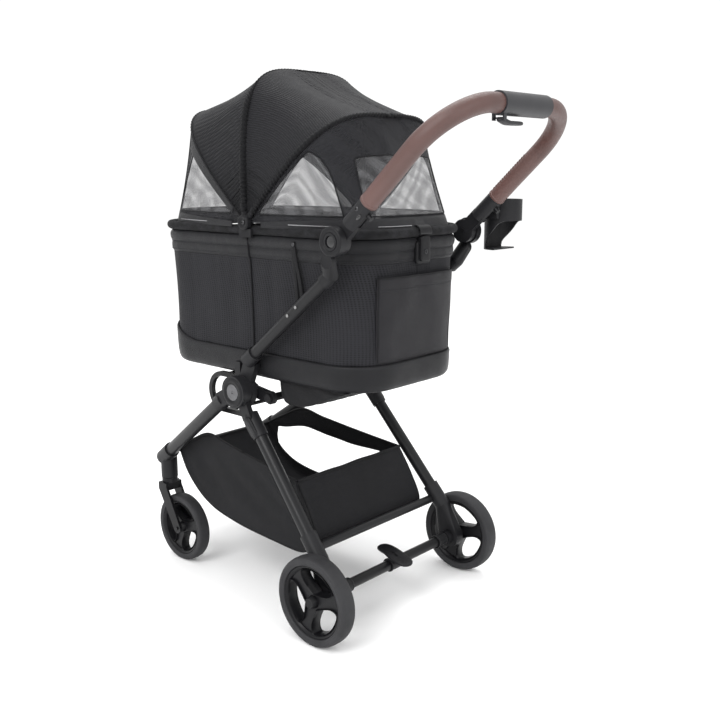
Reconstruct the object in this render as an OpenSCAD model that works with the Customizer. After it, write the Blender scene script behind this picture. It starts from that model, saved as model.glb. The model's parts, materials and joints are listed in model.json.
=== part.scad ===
// Pet stroller with a lift-off carrier: X across (left side is +X), Y to the rear, Z up.
// Lengths are millimetres.  The model is laid out from the front wheel axle and then centred.

/* [Wheels] */
// Diameter of the rear wheels
rear_wheel_d = 178; // [172:1:184]
// Diameter of the front wheels
front_wheel_d = 156; // [150:1:160]
// Distance between the front and rear axles
wheelbase = 511; // [505:1:520]
// Distance between the middles of the rear wheels
rear_track = 465; // [462:1:475]
// Distance between the two caster stems
front_track = 300; // [296:1:304]
// Distance that a front wheel trails behind its stem
caster_trail = 48; // [42:1:52]

/* [Frame] */
// Distance between the middles of the left and right side tubes
frame_w = 380; // [378:1:384]
// How far the folding hubs sit behind the front axle
hub_y = 257; // [254:1:260]
// Height of the folding hubs
hub_z = 450; // [446:1:454]

/* [Handle] */
// How far the handle pivots sit behind the front axle
pivot_y = 536; // [532:1:540]
// Height of the handle pivots
pivot_z = 766; // [762:1:770]
// Length of the handle from its pivots to the middle of the grip
handle_reach = 338; // [320:1:350]
// Slope of the handle above the horizontal
handle_slope = 43; // [38:1:48]

/* [Carrier] */
// Height of the middle of the carrier's rim
rim_z = 775; // [770:1:780]
// Distance of the rim's front end ahead of the front axle
rim_front = 40; // [30:1:50]
// Distance of the rim's rear end behind the front axle
rim_rear = 571; // [565:1:575]
// Distance between the rim tube's two straight sides
rim_w = 340; // [332:1:342]
// Height of the carrier's underside
carrier_base_z = 480; // [478:1:484]
// Height of the top of the canopy above the rim
canopy_rise = 306; // [295:1:312]

/* [Hidden] */
$fn = 48;

// clearances
gap = 0.3;
running = 0.05;
sleeve_gap = 0.2;

// wheels and casters
rear_r = rear_wheel_d / 2;
front_r = front_wheel_d / 2;
rear_wheel_w = 34.6;
front_wheel_w = 29.5;
rear_x = rear_track / 2;
caster_x = front_track / 2;
stem_y = -caster_trail;
axle_r = 5;
caster_axle_r = 4;
stem_r = 6;
housing_bottom = 190;
hub_cap_proud = 2.2;

// side frame, left side
side_x = frame_w / 2;
front_leg_r = 14.5;
rear_leg_r = 13;
upper_tube_r = 12;
front_leg_top = [side_x + 5, 214, 426.8];
front_leg_foot = [caster_x + 5, -50, 242];
rear_leg_top = [181, 280, 399.5];
rear_leg_foot = [197, 488, 153.4];
upper_tube_low = [side_x, 294, 523.4];
upper_tube_high = [side_x, 517, 704.6];
hub_r = 33;
hub_pin_r = 6;
cap_r = 17;
// thickness layers of the hub, from the inside to the outside
upper_layer = [171, 184];
rear_layer = [184.3, 195.7];
front_layer = [196, 209];

// handle
pivot_r = 27;
pivot_pin_r = 5;
ring_r = 24;
ring_layer = [183, 196];
disc_layer = [198, 212];
handle_x = 193;
bar_r = 12;
grip_r = 17;
bend_r = 110;
arm_end = 100;
console_r = 20;
console_w = 144;

// cup holder, outside the right arm
cup_x = -254;
cup_y = 588;
cup_z = [727, 830];
cup_r = 38.5;
cup_wall = 2.5;

// carrier
rim_r = 9;
corner_r = 100;
wall = 6;
taper = 8;
body_top = rim_z - rim_r - 2;
band_top = carrier_base_z + 49;
hinge_y = 280;
hinge_z = rim_z + 15;
bow_w = 8;
bow_t = 4;
front_lean = -48;
mid_lean = -1;
rear_lean = 46.5;
// each arch: half-width at the hinge, reach from the hinge, and how square its shoulders are
front_bow_size = [178, canopy_rise + 31, 0.65];
rear_bow_size = [173.5, canopy_rise - 19, 0.53];
mid_bow_size = [169, canopy_rise - 15, 0.5];
cloth = 2;
cloth_w = 181.5;
cloth_over = 4;
seam_angle = 2;

// the whole model is moved so that its box is centred over the origin
left_reach = rear_x + rear_wheel_w / 2 + hub_cap_proud;
right_reach = cup_r - cup_x;
rear_reach = pivot_y + handle_reach * cos(handle_slope) + console_r;
shift = [(right_reach - left_reach) / 2, (front_r - rear_reach) / 2, 0];

module placed() {
    translate(shift) children();
}

// Mirrors a left-hand shape to the right when side is -1
module on_side(side) {
    mirror([side < 0 ? 1 : 0, 0, 0]) children();
}

module both_sides() {
    for (side = [1, -1]) on_side(side) children();
}

// A round bar between two points
module rod(from, to, r) {
    way = to - from;
    translate(from)
        rotate([0, acos(way[2] / norm(way)), atan2(way[1], way[0])])
            cylinder(h = norm(way), r = r);
}

// A round bar along X between two X values, at a point of the side view
module cross_rod(x, y, z, r) {
    translate([x[0], y, z]) rotate([0, 90, 0]) cylinder(h = x[1] - x[0], r = r);
}

// A flat side-view outline given thickness along X; the outline's axes are Y and Z
module side_plate(x) {
    translate([x[0], 0, 0]) rotate([90, 0, 90]) linear_extrude(x[1] - x[0]) children();
}

// A straight strip of the side view
module strip(from, to, w) {
    way = to - from;
    translate(from) rotate(atan2(way[1], way[0])) translate([0, -w / 2]) square([norm(way), w]);
}

function along(from, to, d) = from + (to - from) * (d / norm(to - from));
function side_view(p) = [p[1], p[2]];

// Front legs and casters

module front_leg(side) {
    color("#1d1d1f") placed() on_side(side) rod(front_leg_top, front_leg_foot, front_leg_r);
}

module front_knuckles() {
    socket_end = along(front_leg_top, front_leg_foot, 24);
    socket_start = along(front_leg_top, front_leg_foot, -3);
    color("#202023") placed() both_sides() difference() {
        union() {
            cross_rod(front_layer, hub_y, hub_z, hub_r);
            side_plate(front_layer) strip([hub_y, hub_z], side_view(socket_start) + [-8, -5], 32);
            rod(socket_start, socket_end, front_leg_r + 3);
        }
        rod(front_leg_top, front_leg_foot, front_leg_r + sleeve_gap);
        cross_rod([front_layer[0] - 1, front_layer[1] + 1], hub_y, hub_z, hub_pin_r + running);
        cross_rod([front_layer[1] - 2.5, front_layer[1] + 1], hub_y, hub_z, cap_r + gap);
    }
}

module caster_housings() {
    sleeve_start = along(front_leg_foot, front_leg_top, 34);
    sleeve_end = along(front_leg_foot, front_leg_top, -16);
    color("#202023") placed() both_sides() difference() {
        union() {
            translate([caster_x, stem_y, housing_bottom]) cylinder(h = 48, r = 19);
            rod(sleeve_start, sleeve_end, front_leg_r + 3.5);
        }
        rod(front_leg_top, front_leg_foot, front_leg_r + sleeve_gap);
        translate([caster_x, stem_y, housing_bottom - 1]) cylinder(h = 36, r = stem_r + running);
    }
}

module front_crossbar() {
    color("#1d1d1f") placed() cross_rod([-133, 133], -38, 254, 8);
}

basket_side = [
    [-24, 260], [92, 334], [388, 279], [448, 166], [400, 130], [210, 132], [100, 150], [12, 206]
];
basket_wall = 4;

// Side view of the basket, grown or shrunk by a border
module basket_profile(border) {
    offset(delta = border) polygon(basket_side);
}

// The basket seen from above: narrow between the front legs, wide between the rear legs
module basket_plan(border) {
    linear_extrude(500) offset(delta = border)
        polygon([[-138, -40], [138, -40], [164, 460], [-164, 460]]);
}

module basket() {
    color("#161618") placed() difference() {
        intersection() {
            side_plate([-200, 200]) basket_profile(0);
            basket_plan(0);
        }
        intersection() {
            union() {
                side_plate([-200, 200]) basket_profile(-basket_wall);
                // the open top
                side_plate([-200, 200])
                    polygon([[75, 300], [75, 400], [394, 400], [394, 250], [300, 250]]);
            }
            basket_plan(-basket_wall);
        }
        // side access opening below the right-hand band
        side_plate([-200, -100])
            polygon([[-2, 262], [150, 256], [318, 243], [318, 190], [135, 162], [40, 205]]);
    }
}

module caster_fork(side) {
    blade_in = front_wheel_w / 2 + 1.75;
    blade_t = 5.5;
    color("#202023") placed() on_side(side) translate([caster_x, 0, 0]) {
        translate([0, stem_y, 177]) cylinder(h = 11.5, r = 18);
        translate([0, stem_y, 188]) cylinder(h = 34, r = stem_r);
        translate([-blade_in - blade_t, stem_y - 15, 160])
            cube([2 * (blade_in + blade_t), 29, 17.5]);
        for (x = [-blade_in - blade_t, blade_in]) hull() {
            cross_rod([x, x + blade_t], stem_y, 165, 14.5, $fn = 32);
            cross_rod([x, x + blade_t], 0, front_r, 12, $fn = 32);
        }
        cross_rod([-blade_in - 1, blade_in + blade_t + 2.5], 0, front_r, caster_axle_r);
    }
}

// Wheels

// Tyre section turned round the axle: r is the tread radius, w the width, seat the inner radius
module tyre(r, w, seat) {
    rotate([0, 90, 0]) rotate_extrude() polygon([
        [seat, -w / 2 + 2], [seat + 3, -w / 2], [r - 5, -w / 2], [r, -w / 2 + 7],
        [r, w / 2 - 7], [r - 5, w / 2], [seat + 3, w / 2], [seat, w / 2 - 2]
    ]);
}

// Three-spoke rim round the axle, from a face at x_in to a face at x_out
module spoked_rim(r, w, x_in, x_out, bore_r) {
    ring = 7;
    spoke_w = 15;
    difference() {
        union() {
            rotate([0, 90, 0]) rotate_extrude()
                translate([r - ring, -w / 2]) square([ring, w]);
            cross_rod([x_in, x_out], 0, 0, 15);
            for (turn = [0:120:240]) rotate([turn, 0, 0])
                translate([-7, -spoke_w / 2, 12]) cube([14, spoke_w, r - ring - 11]);
        }
        cross_rod([x_in - 1, x_out - (bore_r == axle_r ? 4 : -1)], 0, 0, bore_r + running);
    }
}

module front_wheel_at(side) {
    placed() on_side(side) translate([caster_x, 0, front_r]) children();
}

module rear_wheel_at(side) {
    placed() on_side(side) translate([rear_x, wheelbase, rear_r]) children();
}

module front_tyre(side) {
    color("#3a3a3c") front_wheel_at(side) tyre(front_r, front_wheel_w, front_r - 15);
}

module front_rim(side) {
    color("#232326") front_wheel_at(side)
        spoked_rim(front_r - 15.2, front_wheel_w - 6, -front_wheel_w / 2 - 1, front_wheel_w / 2 + 1,
            caster_axle_r);
}

module rear_tyre(side) {
    color("#3a3a3c") rear_wheel_at(side) tyre(rear_r, rear_wheel_w, rear_r - 17);
}

module rear_rim(side) {
    color("#232326") rear_wheel_at(side)
        spoked_rim(rear_r - 17.2, rear_wheel_w - 8, -rear_wheel_w / 2 - 2.5,
            rear_wheel_w / 2 + hub_cap_proud, axle_r);
}

// Rear legs and brake

module rear_leg(side) {
    color("#1d1d1f") placed() on_side(side) rod(rear_leg_top, rear_leg_foot, rear_leg_r);
}

module rear_knuckles() {
    socket_start = along(rear_leg_top, rear_leg_foot, -3);
    socket_end = along(rear_leg_top, rear_leg_foot, 50);
    color("#202023") placed() both_sides() difference() {
        union() {
            cross_rod(rear_layer, hub_y, hub_z, hub_r - 2);
            side_plate(rear_layer) strip([hub_y, hub_z], side_view(rear_leg_top) + [4, -5], 26);
            rod(socket_start, socket_end, rear_leg_r + 3);
        }
        rod(rear_leg_top, rear_leg_foot, rear_leg_r + sleeve_gap);
        cross_rod([rear_layer[0] - 1, rear_layer[1] + 1], hub_y, hub_z, hub_pin_r + running);
    }
}

crossbar_y = 463;
crossbar_z = 166;
crossbar_r = 9;
crossbar_end = 181;
housing_x = [170, 211];

module rear_housing(side) {
    sleeve_start = along(rear_leg_foot, rear_leg_top, 54);
    color("#202023") placed() on_side(side) difference() {
        union() {
            rod(sleeve_start, rear_leg_foot, rear_leg_r + 4);
            hull() {
                translate(rear_leg_foot) sphere(rear_leg_r + 4);
                cross_rod([186, 208], wheelbase, rear_r, 25);
            }
            cross_rod([housing_x[0], 190], wheelbase, rear_r, 15);
            cross_rod([190, housing_x[1]], wheelbase, rear_r, 22);
        }
        rod(rear_leg_top, rear_leg_foot, rear_leg_r + sleeve_gap);
        cross_rod([housing_x[0] - 1, 184], wheelbase, rear_r, axle_r + running);
        // seat of the crossbar's end
        cross_rod([0, crossbar_end + gap], crossbar_y, crossbar_z, crossbar_r + sleeve_gap);
    }
}

module rear_crossbar() {
    color("#1d1d1f") placed()
        cross_rod([-crossbar_end, crossbar_end], crossbar_y, crossbar_z, crossbar_r);
}

module rear_axles() {
    color("#8c8c90") placed() both_sides()
        cross_rod([housing_x[1], rear_x + rear_wheel_w / 2 - 3], wheelbase, rear_r, axle_r);
}

brake_bar_r = 10.5;

module brake_bar() {
    bar_end = housing_x[0] - 0.6;
    color("#1d1d1f") placed() {
        cross_rod([-bar_end, bar_end], wheelbase, rear_r, brake_bar_r);
        both_sides() {
            cross_rod([bar_end - 28, bar_end], wheelbase, rear_r, 13.5);
            cross_rod([bar_end - 1, 183], wheelbase, rear_r, axle_r);
        }
    }
}

module brake_pedal() {
    color("#202023") placed() translate([0, wheelbase, rear_r]) difference() {
        union() {
            cross_rod([-18, 18], 0, 0, 14.5);
            // two-lobed foot plate behind and ahead of the bar
            translate([0, 0, 12.5]) rotate([-6, 0, 0]) linear_extrude(7) {
                translate([-8, -34]) circle(16);
                translate([8, 30]) circle(19);
                translate([-20, -34]) square([40, 66]);
            }
        }
        cross_rod([-60, 60], 0, 0, brake_bar_r + sleeve_gap);
    }
}

// Upper frame

module upper_tube(side) {
    color("#1d1d1f") placed() on_side(side) rod(upper_tube_low, upper_tube_high, upper_tube_r);
}

module upper_knuckles() {
    socket_start = along(upper_tube_low, upper_tube_high, -12);
    socket_end = along(upper_tube_low, upper_tube_high, 18);
    color("#202023") placed() both_sides() difference() {
        union() {
            cross_rod(upper_layer, hub_y, hub_z, hub_r);
            side_plate(upper_layer) strip([hub_y, hub_z], side_view(socket_start), 34);
            rod(socket_start, socket_end, upper_tube_r + 3.5);
            // release tab on top of the hub
            translate([upper_layer[0] + 1, hub_y - 20, hub_z + 20]) cube([12, 16, 38]);
        }
        rod(upper_tube_low, upper_tube_high, upper_tube_r + sleeve_gap);
        cross_rod([upper_layer[0] - 1, upper_layer[1] + 1], hub_y, hub_z, hub_pin_r + running);
    }
}

module hub_pins() {
    cap_floor = front_layer[1] - 2.5 + gap;
    color("#6e6e73") placed() both_sides() {
        cross_rod([upper_layer[0] - 3, cap_floor], hub_y, hub_z, hub_pin_r);
        cross_rod([cap_floor, front_layer[1] + 0.5], hub_y, hub_z, cap_r);
    }
}

button_recess = 8;
button_r = 15;

module elbow(side) {
    sleeve_start = along(upper_tube_high, upper_tube_low, 20);
    color("#202023") placed() on_side(side) difference() {
        union() {
            rod(sleeve_start, upper_tube_high, upper_tube_r + 3.5);
            hull() {
                translate(upper_tube_high) sphere(upper_tube_r + 3.5, $fn = 32);
                cross_rod([disc_layer[0] + 3, disc_layer[1]], pivot_y - 10, pivot_z - 35, 13.5);
            }
            cross_rod(disc_layer, pivot_y, pivot_z, pivot_r);
            cross_rod([ring_layer[0] - 1.5, disc_layer[0]], pivot_y, pivot_z, pivot_pin_r);
        }
        rod(upper_tube_low, upper_tube_high, upper_tube_r + sleeve_gap);
        cross_rod([disc_layer[1] - button_recess, disc_layer[1] + 1], pivot_y, pivot_z,
            button_r + gap);
    }
}

module pivot_button(side) {
    color("#2c2c2f") placed() on_side(side) difference() {
        cross_rod([disc_layer[1] - 4.5, disc_layer[1] + 1], pivot_y, pivot_z, button_r);
        cross_rod([disc_layer[1] - 1, disc_layer[1] + 2], pivot_y, pivot_z, button_r - 4);
    }
}

module frame_rivets() {
    out = side_x + upper_tube_r + 0.2;
    color("#b8b8bc") placed() both_sides()
        for (p = [[437.5, 640], [415.5, 622.1]])
            cross_rod([out, out + 2], p[0], p[1], 3.2);
}

cradle_x = 155;
cradle_r = 5;

module front_cradle_bar() {
    plate = [cradle_x - cradle_r, cradle_x + cradle_r];
    centre = [165, 428];
    reach = 39;
    color("#1d1d1f") placed() {
        both_sides() {
            // C-shaped stay ahead of the hub, open to the rear
            side_plate(plate) {
                difference() {
                    translate(centre) circle(reach + cradle_r, $fn = 96);
                    translate(centre) circle(reach - cradle_r, $fn = 96);
                    translate(centre + [0, -60]) square(120);
                }
                for (z = [centre[1] - reach, centre[1] + reach])
                    translate([centre[0], z - cradle_r]) square([62, 2 * cradle_r]);
            }
            cross_rod([plate[1], upper_layer[0]], 222, centre[1] + reach, cradle_r - 1);
        }
        for (z = [centre[1] - reach, centre[1] + reach])
            cross_rod([-plate[0], plate[0]], centre[0] + 10, z, cradle_r - 1);
    }
}

module rear_cradle_bar() {
    link_x = [158, 168];
    color("#202023") placed() {
        both_sides() {
            difference() {
                union() {
                    side_plate(link_x) strip([hub_y, hub_z], [322, 441], 24);
                    cross_rod(link_x, 322, 441, 13);
                    cross_rod(link_x, hub_y, hub_z, 20);
                }
                cross_rod([link_x[0] - 1, link_x[1] + 1], hub_y, hub_z, hub_pin_r + 1);
            }
            cross_rod([link_x[1], upper_layer[0]], 285, 460, 6);
            cross_rod([link_x[1], link_x[1] + 6], 322, 441, 9);
        }
        cross_rod([-link_x[0], link_x[0]], 322, 441, 8);
    }
}

module under_sling() {
    color("#2a2a2c") placed() side_plate([-148, 148])
        polygon([[334, 479], [334, 436], [350, 426], [400, 431], [520, 475], [520, 479]]);
}

// Handle.  Its flat U lies in a sloping plane: in that plane x runs across and y up the arms.

module in_handle_plane() {
    translate([0, pivot_y, pivot_z]) rotate([handle_slope, 0, 0]) children();
}

function arm_point(s) = [handle_x, pivot_y + s * cos(handle_slope), pivot_z + s * sin(handle_slope)];

// One half of the U: up the arm, round the bend and along the grip to x_end
module handle_run(r, start, x_end) {
    straight_end = handle_reach - bend_r;
    translate([handle_x, start, 0]) rotate([-90, 0, 0]) cylinder(h = straight_end - start, r = r);
    translate([handle_x - bend_r, straight_end, 0])
        rotate_extrude(angle = 90, $fn = 96) translate([bend_r, 0]) circle(r);
    translate([x_end, handle_reach, 0]) rotate([0, 90, 0])
        cylinder(h = handle_x - bend_r - x_end, r = r);
}

module handle_bar() {
    color("#55565a") placed() in_handle_plane() both_sides() handle_run(bar_r, 50, 0);
}

module grip(side) {
    x_end = console_w / 2 + gap;
    color("#6f4a3f") placed() in_handle_plane() on_side(side) difference() {
        handle_run(grip_r, arm_end + 1, x_end);
        handle_run(bar_r + sleeve_gap, arm_end - 1, x_end - 5);
    }
}

module arm(side) {
    color("#202023") placed() on_side(side) difference() {
        union() {
            cross_rod(ring_layer, pivot_y, pivot_z, ring_r);
            side_plate(ring_layer) strip([pivot_y, pivot_z], side_view(arm_point(52)), 28);
            rod(arm_point(44), arm_point(arm_end), grip_r - 0.5);
            // small accessory post on the rear face of the arm
            rod(arm_point(84), arm_point(84) + [0, 18, -17], 5);
        }
        rod(arm_point(50), arm_point(arm_end + 1), bar_r + sleeve_gap);
        cross_rod([ring_layer[0] - 2, ring_layer[1] + 1], pivot_y, pivot_z, pivot_pin_r + running);
        // slot through the lower face of the arm
        translate(arm_point(66) + [0, 12, -12]) rotate([handle_slope, 0, 0])
            cube([8, 22, 5], center = true);
    }
}

// The squeeze lever hangs from a pin below the console; its free end is at x = 0
lever_pin_x = 66;
lever_pin_drop = console_r + 4.2;
lever_tip_drop = console_r + 15;
lever_w = 18;

// Moves to the lever's pin: x along the lever, y along the pin
module at_lever_pin() {
    translate([lever_pin_x, pivot_y + handle_reach * cos(handle_slope),
        pivot_z + handle_reach * sin(handle_slope) - lever_pin_drop]) children();
}

module console() {
    color("#4a4b4f") placed() {
        in_handle_plane() difference() {
            cross_rod([-console_w / 2, console_w / 2], handle_reach, 0, console_r);
            cross_rod([-console_w, console_w], handle_reach, 0, bar_r + sleeve_gap);
            // slot that the fold button slides in
            translate([-4, handle_reach - 7, console_r - 4]) cube([38, 14, 6]);
        }
        // lugs and pin that carry the lever
        at_lever_pin() {
            for (y = [-lever_w / 2 - 3, lever_w / 2 + gap]) translate([-4, y, -4]) cube([8, 2.7, 15]);
            translate([0, -lever_w / 2 - 2, 0]) rotate([-90, 0, 0])
                cylinder(h = lever_w + 4, r = 1.5);
        }
    }
}

module fold_button() {
    color("#2c2c2f") placed() in_handle_plane()
        translate([2, handle_reach - 6.5, console_r - 3.6]) cube([22, 13, 5]);
}

module squeeze_lever() {
    color("#4a4b4f") placed() at_lever_pin() difference() {
        hull() {
            translate([-lever_pin_x, -lever_w / 2, lever_pin_drop - lever_tip_drop])
                cube([56, lever_w, 5]);
            translate([0, -lever_w / 2, 0]) rotate([-90, 0, 0])
                cylinder(h = lever_w, r = 3.2, $fn = 32);
        }
        translate([0, -lever_w, 0]) rotate([-90, 0, 0]) cylinder(h = 2 * lever_w, r = 1.6);
    }
}

module cup_bracket() {
    color("#202023") placed() difference() {
        translate([cup_x + cup_r + 0.6, cup_y - 14, 792])
            cube([10, 30, 32]);
        on_side(-1) rod(arm_point(30), arm_point(arm_end + 20), grip_r + sleeve_gap);
    }
}

module cup_holder() {
    color("#2a2a2d") placed() translate([cup_x, cup_y, 0]) {
        difference() {
            translate([0, 0, cup_z[0]]) cylinder(h = cup_z[1] - cup_z[0], r = cup_r);
            translate([0, 0, cup_z[0] - 1]) cylinder(h = 200, r = cup_r - cup_wall - 0.6);
            // the full round bore at the mouth
            translate([0, 0, cup_z[1] - 40]) cylinder(h = 41, r = cup_r - cup_wall);
            // the lower rear of the wall is cut away in a sweeping curve
            side_plate([-50, 50]) polygon([
                [60, 787], [22, 786], [13, 782], [7, 776], [0, 767], [-9, 757],
                [-18, 747], [-22, 740], [-23, 733], [-22.5, 720], [60, 720]
            ]);
        }
        intersection() {
            translate([0, 0, cup_z[0]]) cylinder(h = 3, r = cup_r);
            translate([-50, -50, cup_z[0]]) cube([100, 54, 10]);
        }
    }
}

// Carrier

// Plan of the carrier: a rectangle with round corners, grown or shrunk by a border
function carrier_plan(border) =
    let (r = corner_r + border, x = rim_w / 2 - corner_r)
    [for (k = [0:3], a = [0:7.5:90])
        let (turn = k * 90 + a,
             cx = (k == 0 || k == 3) ? x : -x,
             cy = (k < 2) ? rim_rear - corner_r : -rim_front + corner_r)
        [cx + r * cos(turn), cy + r * sin(turn)]];

// Part of the carrier's tapering wall between two heights, solid
module carrier_block(z0, z1, border) {
    function inset(z) = -1 - taper * (body_top - z) / (body_top - carrier_base_z);
    hull() {
        translate([0, 0, z0]) linear_extrude(0.01) polygon(carrier_plan(border + inset(z0)));
        translate([0, 0, z1 - 0.01]) linear_extrude(0.01)
            polygon(carrier_plan(border + inset(z1)));
    }
}

module carrier_shell() {
    color("#1b1b1d") placed() difference() {
        carrier_block(band_top + gap, body_top, 0);
        carrier_block(band_top - 1, body_top + 1, -wall);
    }
}

module carrier_base() {
    color("#242427") placed() difference() {
        carrier_block(carrier_base_z, band_top, 0);
        carrier_block(carrier_base_z + wall, band_top + 1, -wall);
    }
}

module carrier_cushion() {
    color("#333336") placed() translate([0, 0, carrier_base_z + wall + gap])
        linear_extrude(30) polygon(carrier_plan(-wall - taper - 4));
}

module carrier_rim() {
    x = rim_w / 2;
    far = rim_rear - corner_r;
    near = corner_r - rim_front;
    color("#232325") placed() translate([0, 0, rim_z]) {
        both_sides() translate([x, near, 0]) rotate([-90, 0, 0]) cylinder(h = far - near, r = rim_r);
        for (y = [-rim_front, rim_rear]) cross_rod([corner_r - x, x - corner_r], y, 0, rim_r);
        for (k = [0:3])
            translate([(k == 0 || k == 3) ? x - corner_r : corner_r - x, k < 2 ? far : near, 0])
                rotate([0, 0, 90 * k])
                    rotate_extrude(angle = 90, $fn = 96) translate([corner_r, 0]) circle(rim_r);
    }
}

module rear_pocket() {
    color("#26262a") placed() difference() {
        intersection() {
            carrier_block(545, 695, 4);
            translate([-112, rim_rear - 60, 500]) cube([224, 100, 300]);
        }
        carrier_block(540, 700, gap);
    }
}

module canopy_hinges() {
    plate = [rim_w / 2 + rim_r + 0.8, rim_w / 2 + rim_r + 10];
    color("#202023") placed() both_sides() {
        cross_rod(plate, hinge_y, hinge_z, 15);
        cross_rod([mid_bow_size[0] - bow_t - 2, plate[0]], hinge_y, hinge_z, 3);
        translate([plate[0], hinge_y - 17, rim_z - 14]) cube([5, 34, 16]);
    }
}

// Arch of a canopy bow: upright sides that round over into a broad top
function arch(size) =
    [for (a = [0:7.5:180])
        [size[0] * sign(cos(a)) * pow(abs(cos(a)), size[2]), size[1] * pow(abs(sin(a)), size[2])]];

// The same arch with every point moved outwards
function grown(size, border) = [size[0] + border, size[1] + border, size[2]];

// Stands a flat outline on the canopy hinge line and leans it: 0 is upright, 90 lies to the rear
module leaned(lean, t) {
    translate([0, hinge_y, hinge_z]) rotate([90 - lean, 0, 0]) translate([0, 0, -t / 2])
        linear_extrude(t) children();
}

module bow(size, lean) {
    placed() difference() {
        union() {
            difference() {
                leaned(lean, bow_w) polygon(arch(size));
                leaned(lean, bow_w + 2) polygon(arch(grown(size, -bow_t)));
            }
            both_sides() cross_rod([size[0] - bow_t - 0.1, size[0] + 0.1], hinge_y, hinge_z, 5.4);
        }
        cross_rod([-200, 200], hinge_y, hinge_z, 3 + running);
    }
}

module mid_bow() {
    color("#3c3c40") bow(mid_bow_size, mid_lean);
}

module front_bow() {
    color("#3c3c40") bow(front_bow_size, front_lean);
}

module rear_bow() {
    color("#3c3c40") bow(rear_bow_size, rear_lean);
}

// Cloth stretched between two leaning arches, as a shell that is open at both
module cloth_between(size_a, lean_a, size_b, lean_b) {
    module solid(border, spread) {
        hull() {
            leaned(lean_a + spread, 0.01) polygon(arch(grown(size_a, border)));
            leaned(lean_b - spread, 0.01) polygon(arch(grown(size_b, border)));
        }
    }
    placed() difference() {
        solid(0, seam_angle);
        solid(-cloth, 0);
        cross_rod([-250, 250], hinge_y, hinge_z, 18);
    }
}

front_cloth = [cloth_w, front_bow_size[1] + cloth_over, front_bow_size[2]];
rear_cloth = [cloth_w, rear_bow_size[1] + cloth_over, rear_bow_size[2]];
mid_cloth = [cloth_w, mid_bow_size[1] + cloth_over, mid_bow_size[2]];
hem_square = 0.6;
hem_lean = 91;
front_hem = [cloth_w - 4, hinge_y + rim_front + 2, hem_square];
rear_hem = [cloth_w - 4, rim_rear - hinge_y + 2, hem_square];

module canopy_roof_front() {
    color("#1b1b1e") cloth_between(front_cloth, front_lean, mid_cloth, mid_lean);
}

module canopy_roof_rear() {
    color("#1b1b1e") cloth_between(mid_cloth, mid_lean, rear_cloth, rear_lean);
}

module canopy_front_panel() {
    color("#6a6a6e") cloth_between(front_hem, -hem_lean, front_cloth, front_lean);
}

module canopy_rear_panel() {
    color("#6a6a6e") cloth_between(rear_cloth, rear_lean, rear_hem, hem_lean);
}

front_leg(1);  // front_leg_left
front_leg(-1);  // front_leg_right
front_knuckles();
caster_housings();
front_crossbar();
basket();
caster_fork(1);  // caster_fork_left
caster_fork(-1);  // caster_fork_right
front_rim(1);  // front_rim_left
front_tyre(1);  // front_tyre_left
front_rim(-1);  // front_rim_right
front_tyre(-1);  // front_tyre_right
rear_leg(1);  // rear_leg_left
rear_leg(-1);  // rear_leg_right
rear_knuckles();
rear_housing(1);  // rear_housing_left
rear_housing(-1);  // rear_housing_right
rear_crossbar();
rear_axles();
rear_rim(1);  // rear_rim_left
rear_tyre(1);  // rear_tyre_left
rear_rim(-1);  // rear_rim_right
rear_tyre(-1);  // rear_tyre_right
brake_bar();
brake_pedal();
upper_tube(1);  // upper_tube_left
upper_tube(-1);  // upper_tube_right
upper_knuckles();
hub_pins();
elbow(1);  // elbow_left
elbow(-1);  // elbow_right
frame_rivets();
front_cradle_bar();
rear_cradle_bar();
under_sling();
pivot_button(1);  // pivot_button_left
pivot_button(-1);  // pivot_button_right
handle_bar();
grip(1);  // grip_left
grip(-1);  // grip_right
arm(1);  // arm_left
arm(-1);  // arm_right
console();
cup_bracket();
fold_button();
squeeze_lever();
cup_holder();
carrier_shell();
carrier_rim();
carrier_base();
carrier_cushion();
rear_pocket();
canopy_hinges();
mid_bow();
canopy_roof_front();
canopy_roof_rear();
front_bow();
canopy_front_panel();
rear_bow();
canopy_rear_panel();
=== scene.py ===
"""Pet stroller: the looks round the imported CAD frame.

Places are given in layout millimetres, as in part.scad: X from the middle of the wheels, Y from the
front axle and Z from the floor.  at() turns them into metres of the row frame.
"""
import json
import math

import bmesh
import bpy
from mathutils import Matrix, Vector, noise


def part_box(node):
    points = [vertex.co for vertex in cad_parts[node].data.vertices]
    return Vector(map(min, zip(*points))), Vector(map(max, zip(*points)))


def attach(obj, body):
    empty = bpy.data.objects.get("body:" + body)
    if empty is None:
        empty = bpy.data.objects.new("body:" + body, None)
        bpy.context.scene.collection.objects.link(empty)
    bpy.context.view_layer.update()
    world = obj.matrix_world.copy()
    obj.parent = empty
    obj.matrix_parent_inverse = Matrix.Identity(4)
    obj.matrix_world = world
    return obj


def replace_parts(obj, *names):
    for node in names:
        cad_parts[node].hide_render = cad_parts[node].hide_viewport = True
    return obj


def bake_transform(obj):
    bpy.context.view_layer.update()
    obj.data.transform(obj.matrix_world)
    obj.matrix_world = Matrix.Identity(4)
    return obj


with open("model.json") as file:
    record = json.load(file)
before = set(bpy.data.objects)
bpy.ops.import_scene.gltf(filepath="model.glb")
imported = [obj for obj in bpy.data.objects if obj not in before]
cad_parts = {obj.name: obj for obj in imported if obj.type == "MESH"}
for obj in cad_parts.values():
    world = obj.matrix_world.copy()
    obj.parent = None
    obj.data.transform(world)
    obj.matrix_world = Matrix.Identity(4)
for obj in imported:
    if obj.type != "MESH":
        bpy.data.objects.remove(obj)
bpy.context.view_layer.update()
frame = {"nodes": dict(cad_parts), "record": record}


def middle(node):
    lo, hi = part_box(node)
    return (lo + hi) / 2


CENTRE_X = (middle("rear_tyre_left").x + middle("rear_tyre_right").x) / 2
AXLE_Y = middle("front_tyre_left").y


def at(x, y, z):
    """A point in layout millimetres as metres of the row frame."""
    return Vector((CENTRE_X + x / 1000, AXLE_Y + y / 1000, z / 1000))


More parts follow.
